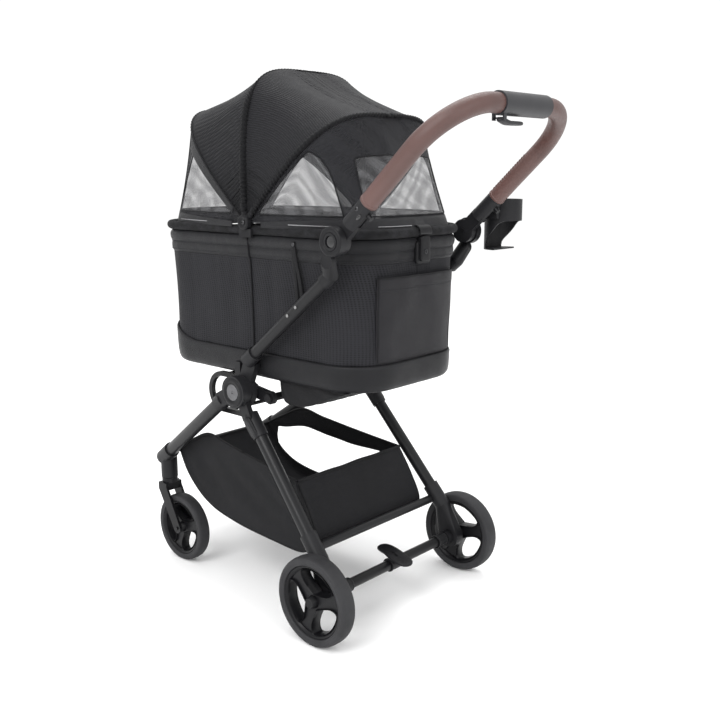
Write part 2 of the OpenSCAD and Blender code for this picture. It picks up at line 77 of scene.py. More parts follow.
def lerp(a, b, t):
    return a + (b - a) * t


def smooth(t):
    t = min(1.0, max(0.0, t))
    return t * t * (3 - 2 * t)


# ---------------------------------------------------------------- materials

WAVE = 0.314    # a wave texture of scale 1 repeats after this many metres
KNIT = 0.0013   # pitch of the canopy's fine knit, in metres


class Nodes:
    """Short calls to build one node material round a Principled shader."""

    def __init__(self, name, color, rough, metallic=0.0, sheen=0.0, coat=0.0, specular=0.5):
        self.mat = bpy.data.materials.new(name)
        self.mat.use_nodes = True
        self.tree = self.mat.node_tree
        self.shader = self.tree.nodes["Principled BSDF"]
        self.color = color
        self.rough = rough
        self.put("Base Color", (*color, 1))
        self.put("Roughness", rough)
        self.put("Metallic", metallic)
        self.put("Sheen Weight", sheen)
        self.put("Sheen Roughness", 0.6)
        self.put("Coat Weight", coat)
        self.put("Specular IOR Level", specular)
        self.bump = None

    def put(self, socket, value):
        self.shader.inputs[socket].default_value = value

    def add(self, kind, **inputs):
        node = self.tree.nodes.new(kind)
        for key, value in inputs.items():
            key = key.replace("_", " ")
            if isinstance(value, bpy.types.NodeSocket):
                self.tree.links.new(value, node.inputs[key])
            else:
                node.inputs[key].default_value = value
        return node

    def join(self, out, socket):
        self.tree.links.new(out, socket)

    def place(self, uv=False):
        """Coordinates in metres: the mesh's own space, or its unrolled cloth."""
        return self.add("ShaderNodeTexCoord").outputs["UV" if uv else "Object"]

    def noise(self, where, scale, detail=3.0):
        node = self.add("ShaderNodeTexNoise", Scale=scale, Detail=detail)
        self.join(where, node.inputs["Vector"])
        return node.outputs["Fac"]

    def cells(self, where, scale, feature="F1"):
        node = self.add("ShaderNodeTexVoronoi", Scale=scale)
        node.feature = feature
        self.join(where, node.inputs["Vector"])
        return node.outputs["Distance"]

    def bands(self, where, scale, direction="X", distortion=0.0):
        node = self.add("ShaderNodeTexWave", Scale=scale, Distortion=distortion)
        node.bands_direction = direction
        self.join(where, node.inputs["Vector"])
        return node.outputs["Fac"]

    def math(self, kind, a, b):
        node = self.tree.nodes.new("ShaderNodeMath")
        node.operation = kind
        for socket, value in zip(node.inputs, (a, b)):
            if isinstance(value, bpy.types.NodeSocket):
                self.join(value, socket)
            else:
                socket.default_value = value
        return node.outputs[0]

    def span(self, value, low, high):
        """Maps 0..1 to low..high."""
        node = self.add("ShaderNodeMapRange", To_Min=low, To_Max=high)
        self.join(value, node.inputs["Value"])
        return node.outputs["Result"]

    def tint(self, value, dark, light):
        """Base colour from dark to light multiples of the material's colour."""
        ramp = self.tree.nodes.new("ShaderNodeValToRGB")
        ramp.color_ramp.elements[0].position = 0.3
        ramp.color_ramp.elements[1].position = 0.7
        ramp.color_ramp.elements[0].color = (*[c * dark for c in self.color], 1)
        ramp.color_ramp.elements[1].color = (*[c * light for c in self.color], 1)
        self.join(value, ramp.inputs["Fac"])
        self.join(ramp.outputs["Color"], self.shader.inputs["Base Color"])
        return ramp.outputs["Color"]

    def roughen(self, value, low, high):
        self.join(self.span(value, low, high), self.shader.inputs["Roughness"])

    def relief(self, height, distance, strength=1.0):
        """Stacks a bump of that many metres on those before it."""
        node = self.add("ShaderNodeBump", Distance=distance, Strength=strength)
        self.join(height, node.inputs["Height"])
        if self.bump is not None:
            self.join(self.bump, node.inputs["Normal"])
        self.bump = node.outputs["Normal"]
        self.join(self.bump, self.shader.inputs["Normal"])

    def painted_edge_highlight(self, base, gain=1.8):
        """Painted highlight: lightens convex edges a little, as if light caught them."""
        pointy = self.add("ShaderNodeNewGeometry").outputs["Pointiness"]
        edge = self.add("ShaderNodeMapRange", From_Min=0.5, From_Max=0.62, To_Min=0.0, To_Max=0.55)
        self.join(pointy, edge.inputs["Value"])
        mix = self.tree.nodes.new("ShaderNodeMix")
        mix.data_type = "RGBA"
        self.join(edge.outputs["Result"], mix.inputs["Factor"])
        self.join(base, mix.inputs[6])
        mix.inputs[7].default_value = (*[min(1.0, c * gain + 0.01) for c in self.color], 1)
        self.join(mix.outputs[2], self.shader.inputs["Base Color"])


def coated(name, color, rough, grain, metallic=0.0, coat=0.0, depth=0.00012, specular=0.5):
    """Paint or moulded plastic: fine grain, faint smudges and slightly lighter edges as a painted highlight."""
    n = Nodes(name, color, rough, metallic, coat=coat, specular=specular)
    where = n.place()
    tinted = n.tint(n.noise(where, 9, 4), 0.82, 1.2)
    # painted highlight: convex edges lightened in the base colour
    n.painted_edge_highlight(tinted)
    n.roughen(n.noise(where, 38, 5), rough - 0.07, rough + 0.09)
    n.relief(n.noise(where, grain, 2), depth, 0.5)
    return n.mat


def polished(name, color, rough):
    """Turned or brushed metal with fine rings of wear."""
    n = Nodes(name, color, rough, 1.0)
    where = n.place()
    n.tint(n.noise(where, 120, 3), 0.85, 1.12)
    n.roughen(n.noise(where, 700, 2), rough - 0.05, rough + 0.1)
    n.relief(n.noise(where, 1500, 1), 0.00002, 0.4)
    return n.mat


def woven(name, color, rough, thread, sheen=0.02, depth=0.0003, twill=0.0, patch=7.0):
    """Plain or twill cloth on unrolled coordinates: two sets of threads, slub and soft shading."""
    n = Nodes(name, color, rough, sheen=sheen, specular=0.16)
    where = n.place(uv=True)
    own = n.place()
    turned = n.add("ShaderNodeMapping")
    turned.inputs["Rotation"].default_value = (0, 0, twill)
    n.join(where, turned.inputs["Vector"])
    flat = turned.outputs["Vector"]
    scale = 0.5 / thread
    warp = n.bands(flat, scale, "X")
    weft = n.bands(flat, scale, "Y")
    cloth = n.math("MAXIMUM", warp, weft)
    shade = n.math("ADD", n.math("MULTIPLY", cloth, 0.35), n.math("MULTIPLY", n.noise(own, patch, 5), 0.65))
    n.tint(shade, 0.7, 1.35)
    n.roughen(n.noise(own, 60, 3), rough - 0.06, rough + 0.06)
    n.relief(cloth, depth)
    n.relief(n.noise(own, 45, 4), 0.0012, 0.45)
    return n.mat


def ribbed(name, color, rough, pitch):
    """Stretch cloth with fine ribs running across each roof panel."""
    n = Nodes(name, color, rough, sheen=0.02, specular=0.18)
    where = n.place(uv=True)
    own = n.place()
    ribs = n.bands(where, WAVE / pitch, "X")
    knit = n.bands(where, WAVE / KNIT, "Y")
    shade = n.math("ADD", n.math("MULTIPLY", ribs, 0.5), n.math("MULTIPLY", n.noise(own, 6, 5), 0.5))
    n.tint(shade, 0.55, 1.5)
    n.roughen(n.noise(own, 60, 3), rough - 0.06, rough + 0.08)
    n.relief(ribs, 0.0007)
    n.relief(knit, 0.0003)
    n.relief(n.noise(own, 30, 4), 0.0016, 0.5)
    return n.mat


def netted(name, color, hole, alpha_low, alpha_high, wander):
    """See-through net: fine threads, with the slow swirl where two layers of net beat."""
    n = Nodes(name, color, 0.7, sheen=0.02, specular=0.15)
    where = n.place(uv=True)
    scale = 0.5 / hole
    threads = n.math("MAXIMUM", n.bands(where, scale, "X"), n.bands(where, scale, "Y"))
    swirl = n.bands(where, 11, "DIAGONAL", wander)
    cover = n.math("ADD", n.math("MULTIPLY", threads, 0.5), n.math("MULTIPLY", swirl, 0.5))
    n.join(n.span(cover, alpha_low, alpha_high), n.shader.inputs["Alpha"])
    n.tint(threads, 0.8, 1.2)
    n.relief(threads, 0.0002, 0.6)
    return n.mat


def spacer_mesh(name, color):
    """Padded mesh: rows of small dark holes with rounded ribs between them."""
    n = Nodes(name, color, 0.72, sheen=0.02, specular=0.14)
    where = n.place(uv=True)
    own = n.place()
    holes = n.math("MULTIPLY", n.bands(where, 45, "X", 1.2), n.bands(where, 75, "Y"))
    slow = n.noise(own, 11, 4)
    ribs = n.math("SUBTRACT", 1.0, holes)
    shade = n.math("ADD", n.math("MULTIPLY", ribs, 0.55), n.math("MULTIPLY", slow, 0.45))
    n.tint(shade, 0.25, 2.2)
    n.relief(ribs, 0.0006, 0.9)
    n.relief(slow, 0.002, 0.4)
    return n.mat


def hide(name, color, rough, grain, depth=0.0004, patch=14.0, specular=0.5):
    """Leather or leatherette: pebbled grain, creases, a varied sheen and a painted highlight that lightens
    convex edges.
    """
    n = Nodes(name, color, rough, specular=specular)
    where = n.place()
    pebbles = n.cells(where, grain)
    creases = n.cells(where, grain / 5, "DISTANCE_TO_EDGE")
    shade = n.math("ADD", n.math("MULTIPLY", pebbles, 0.4), n.math("MULTIPLY", n.noise(where, patch, 5), 0.6))
    base = n.tint(shade, 0.72, 1.3)
    # painted highlight: convex edges lightened in the base colour
    n.painted_edge_highlight(base, 1.5)
    n.roughen(n.noise(where, 90, 4), rough - 0.08, rough + 0.1)
    n.relief(pebbles, depth, 0.7)
    n.relief(n.math("MINIMUM", creases, 0.08), depth * 2, 0.5)
    return n.mat


def braided(name, color):
    """Coarse crossed cords round a tube."""
    n = Nodes(name, color, 0.78, sheen=0.02, specular=0.16)
    where = n.place(uv=True)
    lines = []
    for turn in (0.9, -0.9):
        turned = n.add("ShaderNodeMapping")
        turned.inputs["Rotation"].default_value = (0, 0, turn)
        n.join(where, turned.inputs["Vector"])
        lines.append(n.bands(turned.outputs["Vector"], 95, "X"))
    cords = n.math("MAXIMUM", *lines)
    n.tint(n.math("MULTIPLY", cords, n.noise(n.place(), 60, 3)), 0.35, 3.0)
    n.relief(cords, 0.0009, 0.9)
    return n.mat


def rubber(name, color):
    """Foam rubber tread: matt, dusty, finely pitted."""
    n = Nodes(name, color, 0.62, specular=0.25)
    where = n.place()
    n.tint(n.noise(where, 22, 5), 0.8, 1.22)
    n.roughen(n.noise(where, 70, 4), 0.52, 0.74)
    n.relief(n.noise(where, 1100, 2), 0.00015, 0.6)
    return n.mat


M = {
    "frame_metal": coated("frame_metal", (0.0055, 0.0055, 0.0062), 0.3, 1400, specular=0.2),
    "frame_plastic": coated("frame_plastic", (0.0062, 0.0062, 0.0072), 0.4, 900, depth=0.0002, specular=0.18),
    "pin_cap": polished("pin_cap", (0.1, 0.1, 0.105), 0.24),
    "rivet_metal": polished("rivet_metal", (0.3, 0.3, 0.3), 0.22),
    "axle_steel": polished("axle_steel", (0.3, 0.3, 0.31), 0.3),
    "tyre_rubber": rubber("tyre_rubber", (0.026, 0.026, 0.028)),
    "rim_plastic": coated("rim_plastic", (0.005, 0.005, 0.006), 0.36, 800, specular=0.2),
    "basket_cloth": woven("basket_cloth", (0.0065, 0.0065, 0.0078), 0.7, 0.0011),
    "sling_cloth": woven("sling_cloth", (0.008, 0.008, 0.009), 0.66, 0.001),
    "carrier_mesh": spacer_mesh("carrier_mesh", (0.0075, 0.0075, 0.0088)),
    "rim_webbing": braided("rim_webbing", (0.0085, 0.0085, 0.0098)),
    "base_leatherette": hide("base_leatherette", (0.0062, 0.0062, 0.0075), 0.4, 900, specular=0.2),
    "cushion_cloth": woven("cushion_cloth", (0.05, 0.05, 0.053), 0.85, 0.0014),
    "pocket_cloth": woven("pocket_cloth", (0.013, 0.0125, 0.0145), 0.46, 0.0009),
    "canopy_cloth": ribbed("canopy_cloth", (0.0078, 0.0078, 0.0095), 0.62, 0.0042),
    "canopy_mesh": netted("canopy_mesh", (0.12, 0.12, 0.125), 0.0016, 0.12, 0.68, 9.0),
    "bow_plastic": coated("bow_plastic", (0.012, 0.012, 0.013), 0.5, 900, specular=0.25),
    "handle_metal": coated("handle_metal", (0.007, 0.007, 0.008), 0.34, 1300, specular=0.2),
    "grip_leather": hide("grip_leather", (0.072, 0.034, 0.029), 0.38, 1300, 0.0003),
    "console_plastic": coated("console_plastic", (0.013, 0.013, 0.015), 0.42, 1000, specular=0.35),
    "cup_plastic": coated("cup_plastic", (0.005, 0.005, 0.006), 0.45, 1100, specular=0.18),
}
LOOKS = {
    "piping": woven("piping_cord", (0.005, 0.005, 0.006), 0.62, 0.0014),
    "band": woven("band_cloth", (0.0125, 0.0125, 0.014), 0.46, 0.0012),
    "lining": woven("lining_cloth", (0.012, 0.012, 0.013), 0.8, 0.0012),
    "sheer": netted("sheer_net", (0.014, 0.014, 0.016), 0.0012, 0.78, 0.97, 4.0),
    "zip": woven("zip_tape", (0.3, 0.3, 0.31), 0.5, 0.0016),
    "thread": woven("stitch_thread", (0.03, 0.03, 0.034), 0.6, 0.0006),
    "thread_brown": woven("grip_thread", (0.11, 0.06, 0.05), 0.6, 0.0006),
    "screw": polished("screw_metal", (0.07, 0.07, 0.073), 0.3),
    "brushed": polished("brushed_cap", (0.13, 0.13, 0.135), 0.2),
    "gloss": coated("gloss_inlay", (0.004, 0.004, 0.005), 0.16, 600, coat=0.4, depth=0.00003, specular=0.5),
}

for row in frame["record"]["subparts"]:
    node = frame["nodes"][row["node"]]
    node.data.materials.clear()
    node.data.materials.append(M[row["material_slot"]])


# ---------------------------------------------------------------- mesh tools

def mesh(name, verts, faces, mat, uvs=None):
    """A smooth-shaded object in the row frame; uvs are per vertex, in metres."""
    data = bpy.data.meshes.new(name)
    data.from_pydata([tuple(v) for v in verts], [], faces)
    data.update()
    for polygon in data.polygons:
        polygon.use_smooth = True
    if uvs:
        layer = data.uv_layers.new(name="cloth")
        for loop in data.loops:
            layer.data[loop.index].uv = uvs[loop.vertex_index]
    obj = bpy.data.objects.new(name, data)
    bpy.context.collection.objects.link(obj)
    data.materials.append(mat)
    return obj


def grid(name, rows, mat, closed=False, skip=None):
    """A sheet through rows of points; closed joins each row's ends; skip(i, j) leaves a face out."""
    n = len(rows[0])
    verts = [p for row in rows for p in row]
    uvs = []
    v = 0.0
    for i, row in enumerate(rows):
        if i:
            v += sum((row[j] - rows[i - 1][j]).length for j in range(n)) / n
        u = 0.0
        for j, p in enumerate(row):
            if j:
                u += (p - row[j - 1]).length
            uvs.append((u, v))
    faces = []
    for i in range(len(rows) - 1):
        for j in range(n if closed else n - 1):
            if skip and skip(i, j):
                continue
            k = (j + 1) % n
            faces.append((i * n + j, i * n + k, (i + 1) * n + k, (i + 1) * n + j))
    return mesh(name, verts, faces, mat, uvs)


def modify(obj, kind, **settings):
    """Adds a modifier and applies it."""
    modifier = obj.modifiers.new(kind, kind)
    for key, value in settings.items():
        setattr(modifier, key, value)
    bpy.context.view_layer.objects.active = obj
    with bpy.context.temp_override(object=obj, active_object=obj, selected_objects=[obj]):
        bpy.ops.object.modifier_apply(modifier=modifier.name)
    return obj


def thick(obj, mm, offset=-1.0):
    return modify(obj, "SOLIDIFY", thickness=mm / 1000, offset=offset)


def frames_along(path, closed):
    """Directions and a steady side vector at each point of a path."""
    n = len(path)
    ways = []
    for i in range(n):
        a = path[(i - 1) % n] if closed or i else path[0]
        b = path[(i + 1) % n] if closed or i < n - 1 else path[-1]
        ways.append((b - a).normalized())
    side = ways[0].orthogonal().normalized()
    sides = []
    for way in ways:
        side = (side - way * side.dot(way)).normalized()
        sides.append(side)
    if closed:
        drift = sides[0].angle(sides[-1], 0.0) * (1 if ways[0].dot(sides[-1].cross(sides[0])) > 0 else -1)
        sides = [Matrix.Rotation(drift * i / n, 3, ways[i]) @ s for i, s in enumerate(sides)]
    return ways, sides


def tube(name, path, radius, mat, closed=False, around=10, shape=None, squash=1.0):
    """A round cord along a path; radius is mm or a function of the share along it."""
    ways, sides = frames_along(path, closed)
    rows = []
    n = len(path)
    for i, p in enumerate(path):
        up = ways[i].cross(sides[i])
        share = i / (n - 1)
        r = (radius(share) if callable(radius) else radius) / 1000
        ring = []
        for k in range(around):
            a = math.tau * k / around
            bump = shape(i, a) / 1000 if shape else 0.0
            ring.append(p + (sides[i] * math.cos(a) + up * math.sin(a) * squash) * (r + bump))
        rows.append(ring)
    if closed:
        rows.append(rows[0])
    obj = grid(name, rows, mat, closed=True)
    if closed:
        weld(obj)
    else:
        cap_ends(obj, around)
    return obj


def weld(obj, distance=1e-6):
    return modify(obj, "WELD", merge_threshold=distance)


def cap_ends(obj, around):
    """Closes the first and last loops of an open tube."""
    last = len(obj.data.vertices) - around
    shell = bmesh.new()
    shell.from_mesh(obj.data)
    shell.verts.ensure_lookup_table()
    shell.faces.new([shell.verts[k] for k in reversed(range(around))])
    shell.faces.new([shell.verts[last + k] for k in range(around)])
    shell.to_mesh(obj.data)
    shell.free()
    return obj


def lathe(name, profile, origin, axis, mat, around=48):
    """Turns (distance along axis, radius) pairs in mm round an axis through origin."""
    axis = axis.normalized()
    side = axis.orthogonal().normalized()
    up = axis.cross(side)
    rows = []
    turns = [math.tau * k / around for k in range(around)]
    for along, r in profile:
        rows.append([origin + axis * (along / 1000) + (side * math.cos(a) + up * math.sin(a)) * (r / 1000)
                     for a in turns])
    return weld(grid(name, rows, mat, closed=True), 1e-5)


def smooth_path(points, steps=8, closed=False):
    """A Catmull-Rom curve through points."""
    n = len(points)
    out = []
    last = n if closed else n - 1
    for i in range(last):
        p = [points[(i + k) % n] if closed else points[min(n - 1, max(0, i + k))] for k in (-1, 0, 1, 2)]
        for s in range(steps):
            t = s / steps
            out.append(0.5 * (2 * p[1] + (p[2] - p[0]) * t + (2 * p[0] - 5 * p[1] + 4 * p[2] - p[3]) * t * t
                              + (3 * p[1] - p[0] - 3 * p[2] + p[3]) * t ** 3))
    if not closed:
        out.append(points[-1])
    return out


def evenly(path, step, closed=False):
    """Points every step mm along a path."""
    pts = path + [path[0]] if closed else path
    out = [pts[0]]
    left = step / 1000
    for a, b in zip(pts, pts[1:]):
        span = (b - a).length
        done = 0.0
        while span - done > left:
            done += left
            out.append(a.lerp(b, done / span))
            left = step / 1000
        left -= span - done
    return out


def stitches(name, path, mat, length=3.2, gap=1.8, r=0.45, closed=False):
    """A row of thread stitches lying along a path, as one mesh."""
    verts = []
    faces = []
    pts = evenly(path, length + gap, closed)
    for a, b in zip(pts, pts[1:]):
        way = (b - a).normalized()
        side = way.orthogonal().normalized()
        up = way.cross(side)
        base = len(verts)
        for share, scale in ((0.0, 0.25), (0.12, 1.0), (0.5, 1.15), (0.88, 1.0), (1.0, 0.25)):
            for k in range(6):
                t = math.tau * k / 6
                p = a + way * (length / 1000 * share)
                verts.append(p + (side * math.cos(t) + up * math.sin(t)) * (r * scale / 1000))
        for i in range(4):
            for k in range(6):
                m = (k + 1) % 6
                faces.append((base + i * 6 + k, base + i * 6 + m, base + i * 6 + 6 + m, base + i * 6 + 6 + k))
    return mesh(name, verts, faces, mat, [(v.x, v.z) for v in verts])


def put_on(obj, body):
    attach(obj, body)
    return obj


SIDES = (("left", 1), ("right", -1))


# ---------------------------------------------------------------- wheels

def tyre(name, centre, r, w, seat, mat):
    """Foam tyre: round shoulders, a sidewall groove and a diamond-cut tread."""
    half = w / 2
    outline = [(-half + 3, seat), (-half + 1.2, seat + 1), (-half + 0.4, seat + 3), (-half + 0.9, seat + 4.6),
               (-half, seat + 6)]
    for k in range(17):
        a = math.pi * k / 16
        outline.append((-half * math.copysign(abs(math.cos(a)) ** 0.72, math.cos(a)),
                        r - 8 + 8 * abs(math.sin(a)) ** 0.6))
    outline += [(-x, y) for x, y in reversed(outline[:5])]
    turns = 448
    pitch = 4
    rows = []
    for i, (x, y) in enumerate(outline):
        tread = smooth((y - (r - 4.5)) / 2.5)
        row = []
        for k in range(turns):
            knurl = math.cos(math.tau * (k / pitch + i / 4)) * math.cos(math.tau * (k / pitch - i / 4))
            rr = (y - 0.35 * tread + 0.4 * tread * knurl) / 1000
            a = math.tau * k / turns
            row.append(centre + Vector((x / 1000, rr * math.cos(a), rr * math.sin(a))))
        rows.append(row)
    rows.append(rows[0])
    return weld(grid(name, rows, mat, closed=True))


def opening(hub, ring, turn):
    """Outline of one rim opening as (y, z) in mm: a lobe with round corners between two spokes."""
    half = math.radians(60)
    inner = math.asin(7.5 / (hub + 4))
    outer = math.asin(8.5 / ring)
    corners = [(hub + 3, -half + inner + 0.55), (ring * 0.72, -half + outer + 0.12),
               (ring, -half + outer + 0.2)]
    corners += [(ring, a) for a in (-0.4, 0.0, 0.4)]
    corners += [(r, -a) for r, a in reversed(corners[:3])]
    pts = [Vector((r * math.cos(a + turn), r * math.sin(a + turn), 0)) for r, a in corners]
    return smooth_path(pts, 8, closed=True)


def rim(name, centre, r, w, hub, out, turn):
    """Moulded rim: a deep ring, a recessed web, three openings with raised lips, and a hub cap."""
    ring_in = r - 6.5
    openings = [opening(hub, ring_in - 1.2, turn + k * math.tau / 3) for k in range(3)]
    data = bpy.data.curves.new(name + "_web", "CURVE")
    data.dimensions = "2D"
    data.fill_mode = "BOTH"
    circle = [Vector((ring_in * math.cos(a), ring_in * math.sin(a), 0))
              for a in [math.tau * k / 96 for k in range(96)]]
    for line in [circle, *openings]:
        spline = data.splines.new("POLY")
        spline.points.add(len(line) - 1)
        for point, p in zip(spline.points, line):
            point.co = (p.x / 1000, p.y / 1000, 0, 1)
        spline.use_cyclic_u = True
    data.extrude = (w / 2 - 6.5) / 1000
    data.bevel_depth = 0.0008
    data.bevel_resolution = 2
    web = bpy.data.objects.new(name, data)
    bpy.context.collection.objects.link(web)
    bpy.context.view_layer.update()
    flat = bpy.data.meshes.new_from_object(web.evaluated_get(bpy.context.evaluated_depsgraph_get()))
    bpy.data.objects.remove(web)
    upright = Matrix(((0, 0, 1, 0), (1, 0, 0, 0), (0, 1, 0, 0), (0, 0, 0, 1)))
    flat.transform(Matrix.Translation(centre) @ upright)
    obj = bpy.data.objects.new(name, flat)
    bpy.context.collection.objects.link(obj)
    parts = [obj]

    def spot(p, x):
        return centre + Vector((x / 1000, p.x / 1000, p.y / 1000))

    lip = w / 2 - 1.5
    for k, line in enumerate(openings):
        mid = sum(line, Vector()) / len(line)
        rows = []
        for x, grow in ((-lip, 0.0), (-lip - 0.8, 0.7), (-lip, 1.4),
                        (lip, 1.4), (lip + 0.8, 0.7), (lip, 0.0)):
            rows.append([spot(p + (mid - p).normalized() * (grow - 0.7), x) for p in line])
        rows.append(rows[0])
        parts.append(weld(grid(f"{name}_lip{k}", rows, M["rim_plastic"], closed=True)))
    half = w / 2
    across = Vector((1, 0, 0))
    outer_half = [(half - 4, ring_in - 1), (half - 2, r - 5.5), (half, r - 3), (half + 0.6, r - 1.5),
                  (half, r)]
    ring_shape = [(-x, y) for x, y in reversed(outer_half)] + outer_half + [(-half, r)]
    parts.append(lathe(name + "_ring", ring_shape, centre, across, M["rim_plastic"], 96))
    hub_shape = [(-out, 0), (-out, hub - 6), (-out + 1.2, hub - 4.6), (-w / 2 + 4, hub - 2), (0, hub + 1),
                 (w / 2 - 4, hub - 2), (out - 1.2, hub - 4.6), (out, hub - 5.6), (out, hub - 7.2),
                 (out - 0.6, hub - 7.8), (out - 0.3, 0)]
    parts.append(lathe(name + "_hub", hub_shape, centre, across, M["rim_plastic"], 48))
    return merge(name, parts, M["rim_plastic"])


def merge(name, parts, mat):
    """Joins meshes that share one material into one object."""
    verts = []
    faces = []
    for part in parts:
        base = len(verts)
        verts += [v.co.copy() for v in part.data.vertices]
        faces += [tuple(base + i for i in p.vertices) for p in part.data.polygons]
        bpy.data.objects.remove(part)
    obj = mesh(name, verts, faces, mat)
    modify(obj, "EDGE_SPLIT", split_angle=math.radians(38))
    return obj


def wheels():
    for side, _ in SIDES:
        for end, narrower, hub, turn in (("front", 6, 14, 75), ("rear", 8, 15, 74)):
            body = f"{end}_wheel_{side}"
            tread = f"{end}_tyre_{side}"
            lo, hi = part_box(tread)
            centre = (lo + hi) / 2
            r = (hi.z - lo.z) * 500
            w = (hi.x - lo.x) * 1000
            rim_lo, rim_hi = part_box(f"{end}_rim_{side}")
            seat = (rim_hi.z - rim_lo.z) * 500
            out = min(rim_hi.x - centre.x, centre.x - rim_lo.x) * 1000
            rubber_piece = tyre(f"{end}_wheel_tread_{side}", centre, r, w, seat + 0.2, M["tyre_rubber"])
            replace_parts(put_on(rubber_piece, body), tread)
            spokes = rim(f"{end}_wheel_spokes_{side}", centre, seat, w - narrower, hub, out,
                         math.radians(turn))
            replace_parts(put_on(spokes, body), f"{end}_rim_{side}")


wheels()


# ---------------------------------------------------------------- carrier

RIM_Z = 775
RIM_HALF = 170
RIM_FRONT = -40
RIM_REAR = 571
CORNER = 100
BODY_TOP = 764
BODY_LOW = 480
BAND_LOW = 722
SKIRT_TOP = 529
TAPER = 8
LOOP_POINTS = 240


def plan_loop(border, count=LOOP_POINTS):
    """The carrier's plan as (x, y, outward normal) in mm, evenly spaced from the middle of the rear."""
    r = CORNER + border
    x = RIM_HALF - CORNER
    y_far = RIM_REAR - CORNER
    y_near = RIM_FRONT + CORNER
    runs = [("line", (0, y_far + r), (-x, y_far + r)), ("arc", (-x, y_far), 90),
            ("line", (-x - r, y_far), (-x - r, y_near)), ("arc", (-x, y_near), 180),
            ("line", (-x, y_near - r), (x, y_near - r)), ("arc", (x, y_near), 270),
            ("line", (x + r, y_near), (x + r, y_far)), ("arc", (x, y_far), 0),
            ("line", (x, y_far + r), (0, y_far + r))]
    lengths = [math.dist(run[1], run[2]) if run[0] == "line" else math.pi / 2 * r for run in runs]
    total = sum(lengths)
    out = []
    for k in range(count):
        s = total * k / count
        for run, length in zip(runs, lengths):
            if s <= length:
                break
            s -= length
        share = s / length
        if run[0] == "line":
            px = lerp(run[1][0], run[2][0], share)
            py = lerp(run[1][1], run[2][1], share)
        else:
            a = math.radians(run[2]) + share * math.pi / 2
            px = run[1][0] + r * math.cos(a)
            py = run[1][1] + r * math.sin(a)
        core = Vector((min(x, max(-x, px)), min(y_far, max(y_near, py))))
        out.append((px, py, (Vector((px, py)) - core).normalized()))
    return out


LOOP = plan_loop(0)


def inset(z):
    return -1 - TAPER * (BODY_TOP - z) / (BODY_TOP - BODY_LOW)


def bag_point(k, z, out=0.0):
    """A point on the carrier's wall at loop index k and height z, pushed out by mm."""
    px, py, normal = LOOP[k % LOOP_POINTS]
    push = inset(z) + out
    return at(px + normal.x * push, py + normal.y * push, z)


def loop_index(side_x, y):
    """Loop index nearest to a place in plan."""
    return min(range(LOOP_POINTS), key=lambda k: (LOOP[k][0] - side_x) ** 2 + (LOOP[k][1] - y) ** 2)


SEAM_LEFT = loop_index(RIM_HALF, 270)
SEAM_RIGHT = loop_index(-RIM_HALF, 270)


def seam_pull(k):
    """How near a point is to a vertical side seam: 1 on it."""
    return max(math.exp(-((k - seam) / 2.2) ** 2) for seam in (SEAM_LEFT, SEAM_RIGHT))


def bag_wall(k, z):
    """Relief of the mesh wall in mm: a slack hollow, soft creases below the rim and pulls at the seams."""
    t = (z - SKIRT_TOP) / (BODY_TOP - SKIRT_TOP)
    angle = math.tau * k / LOOP_POINTS
    crease = noise.noise(Vector((math.cos(angle) * 9, math.sin(angle) * 9, z / 150)))
    ripple = noise.noise(Vector((math.cos(angle) * 26, math.sin(angle) * 26, z / 300 + 5)))
    hollow = -2.4 * math.sin(math.pi * t)
    return hollow + 2.0 * crease + 0.9 * ripple * (0.4 + t) - 1.8 * seam_pull(k)


def loop_rows(levels, relief):
    return [[bag_point(k, z, relief(k, z)) for k in range(LOOP_POINTS)] for z in levels]


def carrier_bag():
    levels = [SKIRT_TOP + (BODY_TOP - SKIRT_TOP) * i / 46 for i in range(47)]
    wall = thick(grid("carrier_bag_wall", loop_rows(levels, bag_wall), M["carrier_mesh"], closed=True), 3)
    put_on(wall, "carrier")
    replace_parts(wall, "carrier_shell")

    inner = [[bag_point(k, z, -5.5 + 0.7 * bag_wall(k, z)) for k in range(LOOP_POINTS)] for z in levels[::2]]
    lining = grid("carrier_bag_lining", inner, LOOKS["lining"], closed=True)
    put_on(lining, "carrier")

    tiers = [(BAND_LOW + up, out) for up, out in
             ((-2, -0.5), (0, 1.2), (3, 2.4), (9, 3.2), (15, 2.6), (18, 1.6), (19, 1.0), (20, 2.0),
              (24, 4.4), (32, 5.4), (38, 3.8))]
    tiers.append((BODY_TOP - 1, 0.5))

    def band_relief(k, z, out):
        angle = math.tau * k / LOOP_POINTS
        puff = noise.noise(Vector((math.cos(angle) * 14, math.sin(angle) * 14, z / 40)))
        tuck = noise.noise(Vector((math.cos(angle) * 40, math.sin(angle) * 40, 3)))
        return out + (1.5 * puff + 0.8 * tuck) * min(1.0, out / 3) - 1.6 * seam_pull(k)

    rows = [[bag_point(k, z, band_relief(k, z, out)) for k in range(LOOP_POINTS)] for z, out in tiers]
    band = grid("carrier_top_band", rows, LOOKS["band"], closed=True)
    modify(band, "SUBSURF", levels=1, render_levels=1)
    put_on(band, "carrier")
    for name, z, out in (("upper", BAND_LOW + 19, 1.6), ("lower", BAND_LOW + 3, 2.6)):
        path = [bag_point(k, z, band_relief(k, z, out) + 0.3) for k in range(LOOP_POINTS)]
        put_on(stitches(f"carrier_band_stitches_{name}", path, LOOKS["thread"], closed=True), "carrier")

    seams = []
    for name, k in (("left", SEAM_LEFT), ("right", SEAM_RIGHT)):
        path = [bag_point(k, z, bag_wall(k, z) + 1.6 + 3.2 * smooth((z - BAND_LOW + 8) / 12))
                for z in range(SKIRT_TOP, BODY_TOP, 5)]
        seam = tube(f"carrier_side_piping_{name}", path, 1.9, LOOKS["piping"])
        seams.append(put_on(seam, "carrier"))
    seams + carrier_fittings()


def skirt_top(k):
    """Height of the leatherette's upper edge: it climbs towards the nose."""
    return SKIRT_TOP + 30 * smooth((95 - LOOP[k % LOOP_POINTS][1]) / 130)


def skirt_foot(k):
    """Height of the piping round the foot of the leatherette."""
    return BODY_LOW + 4


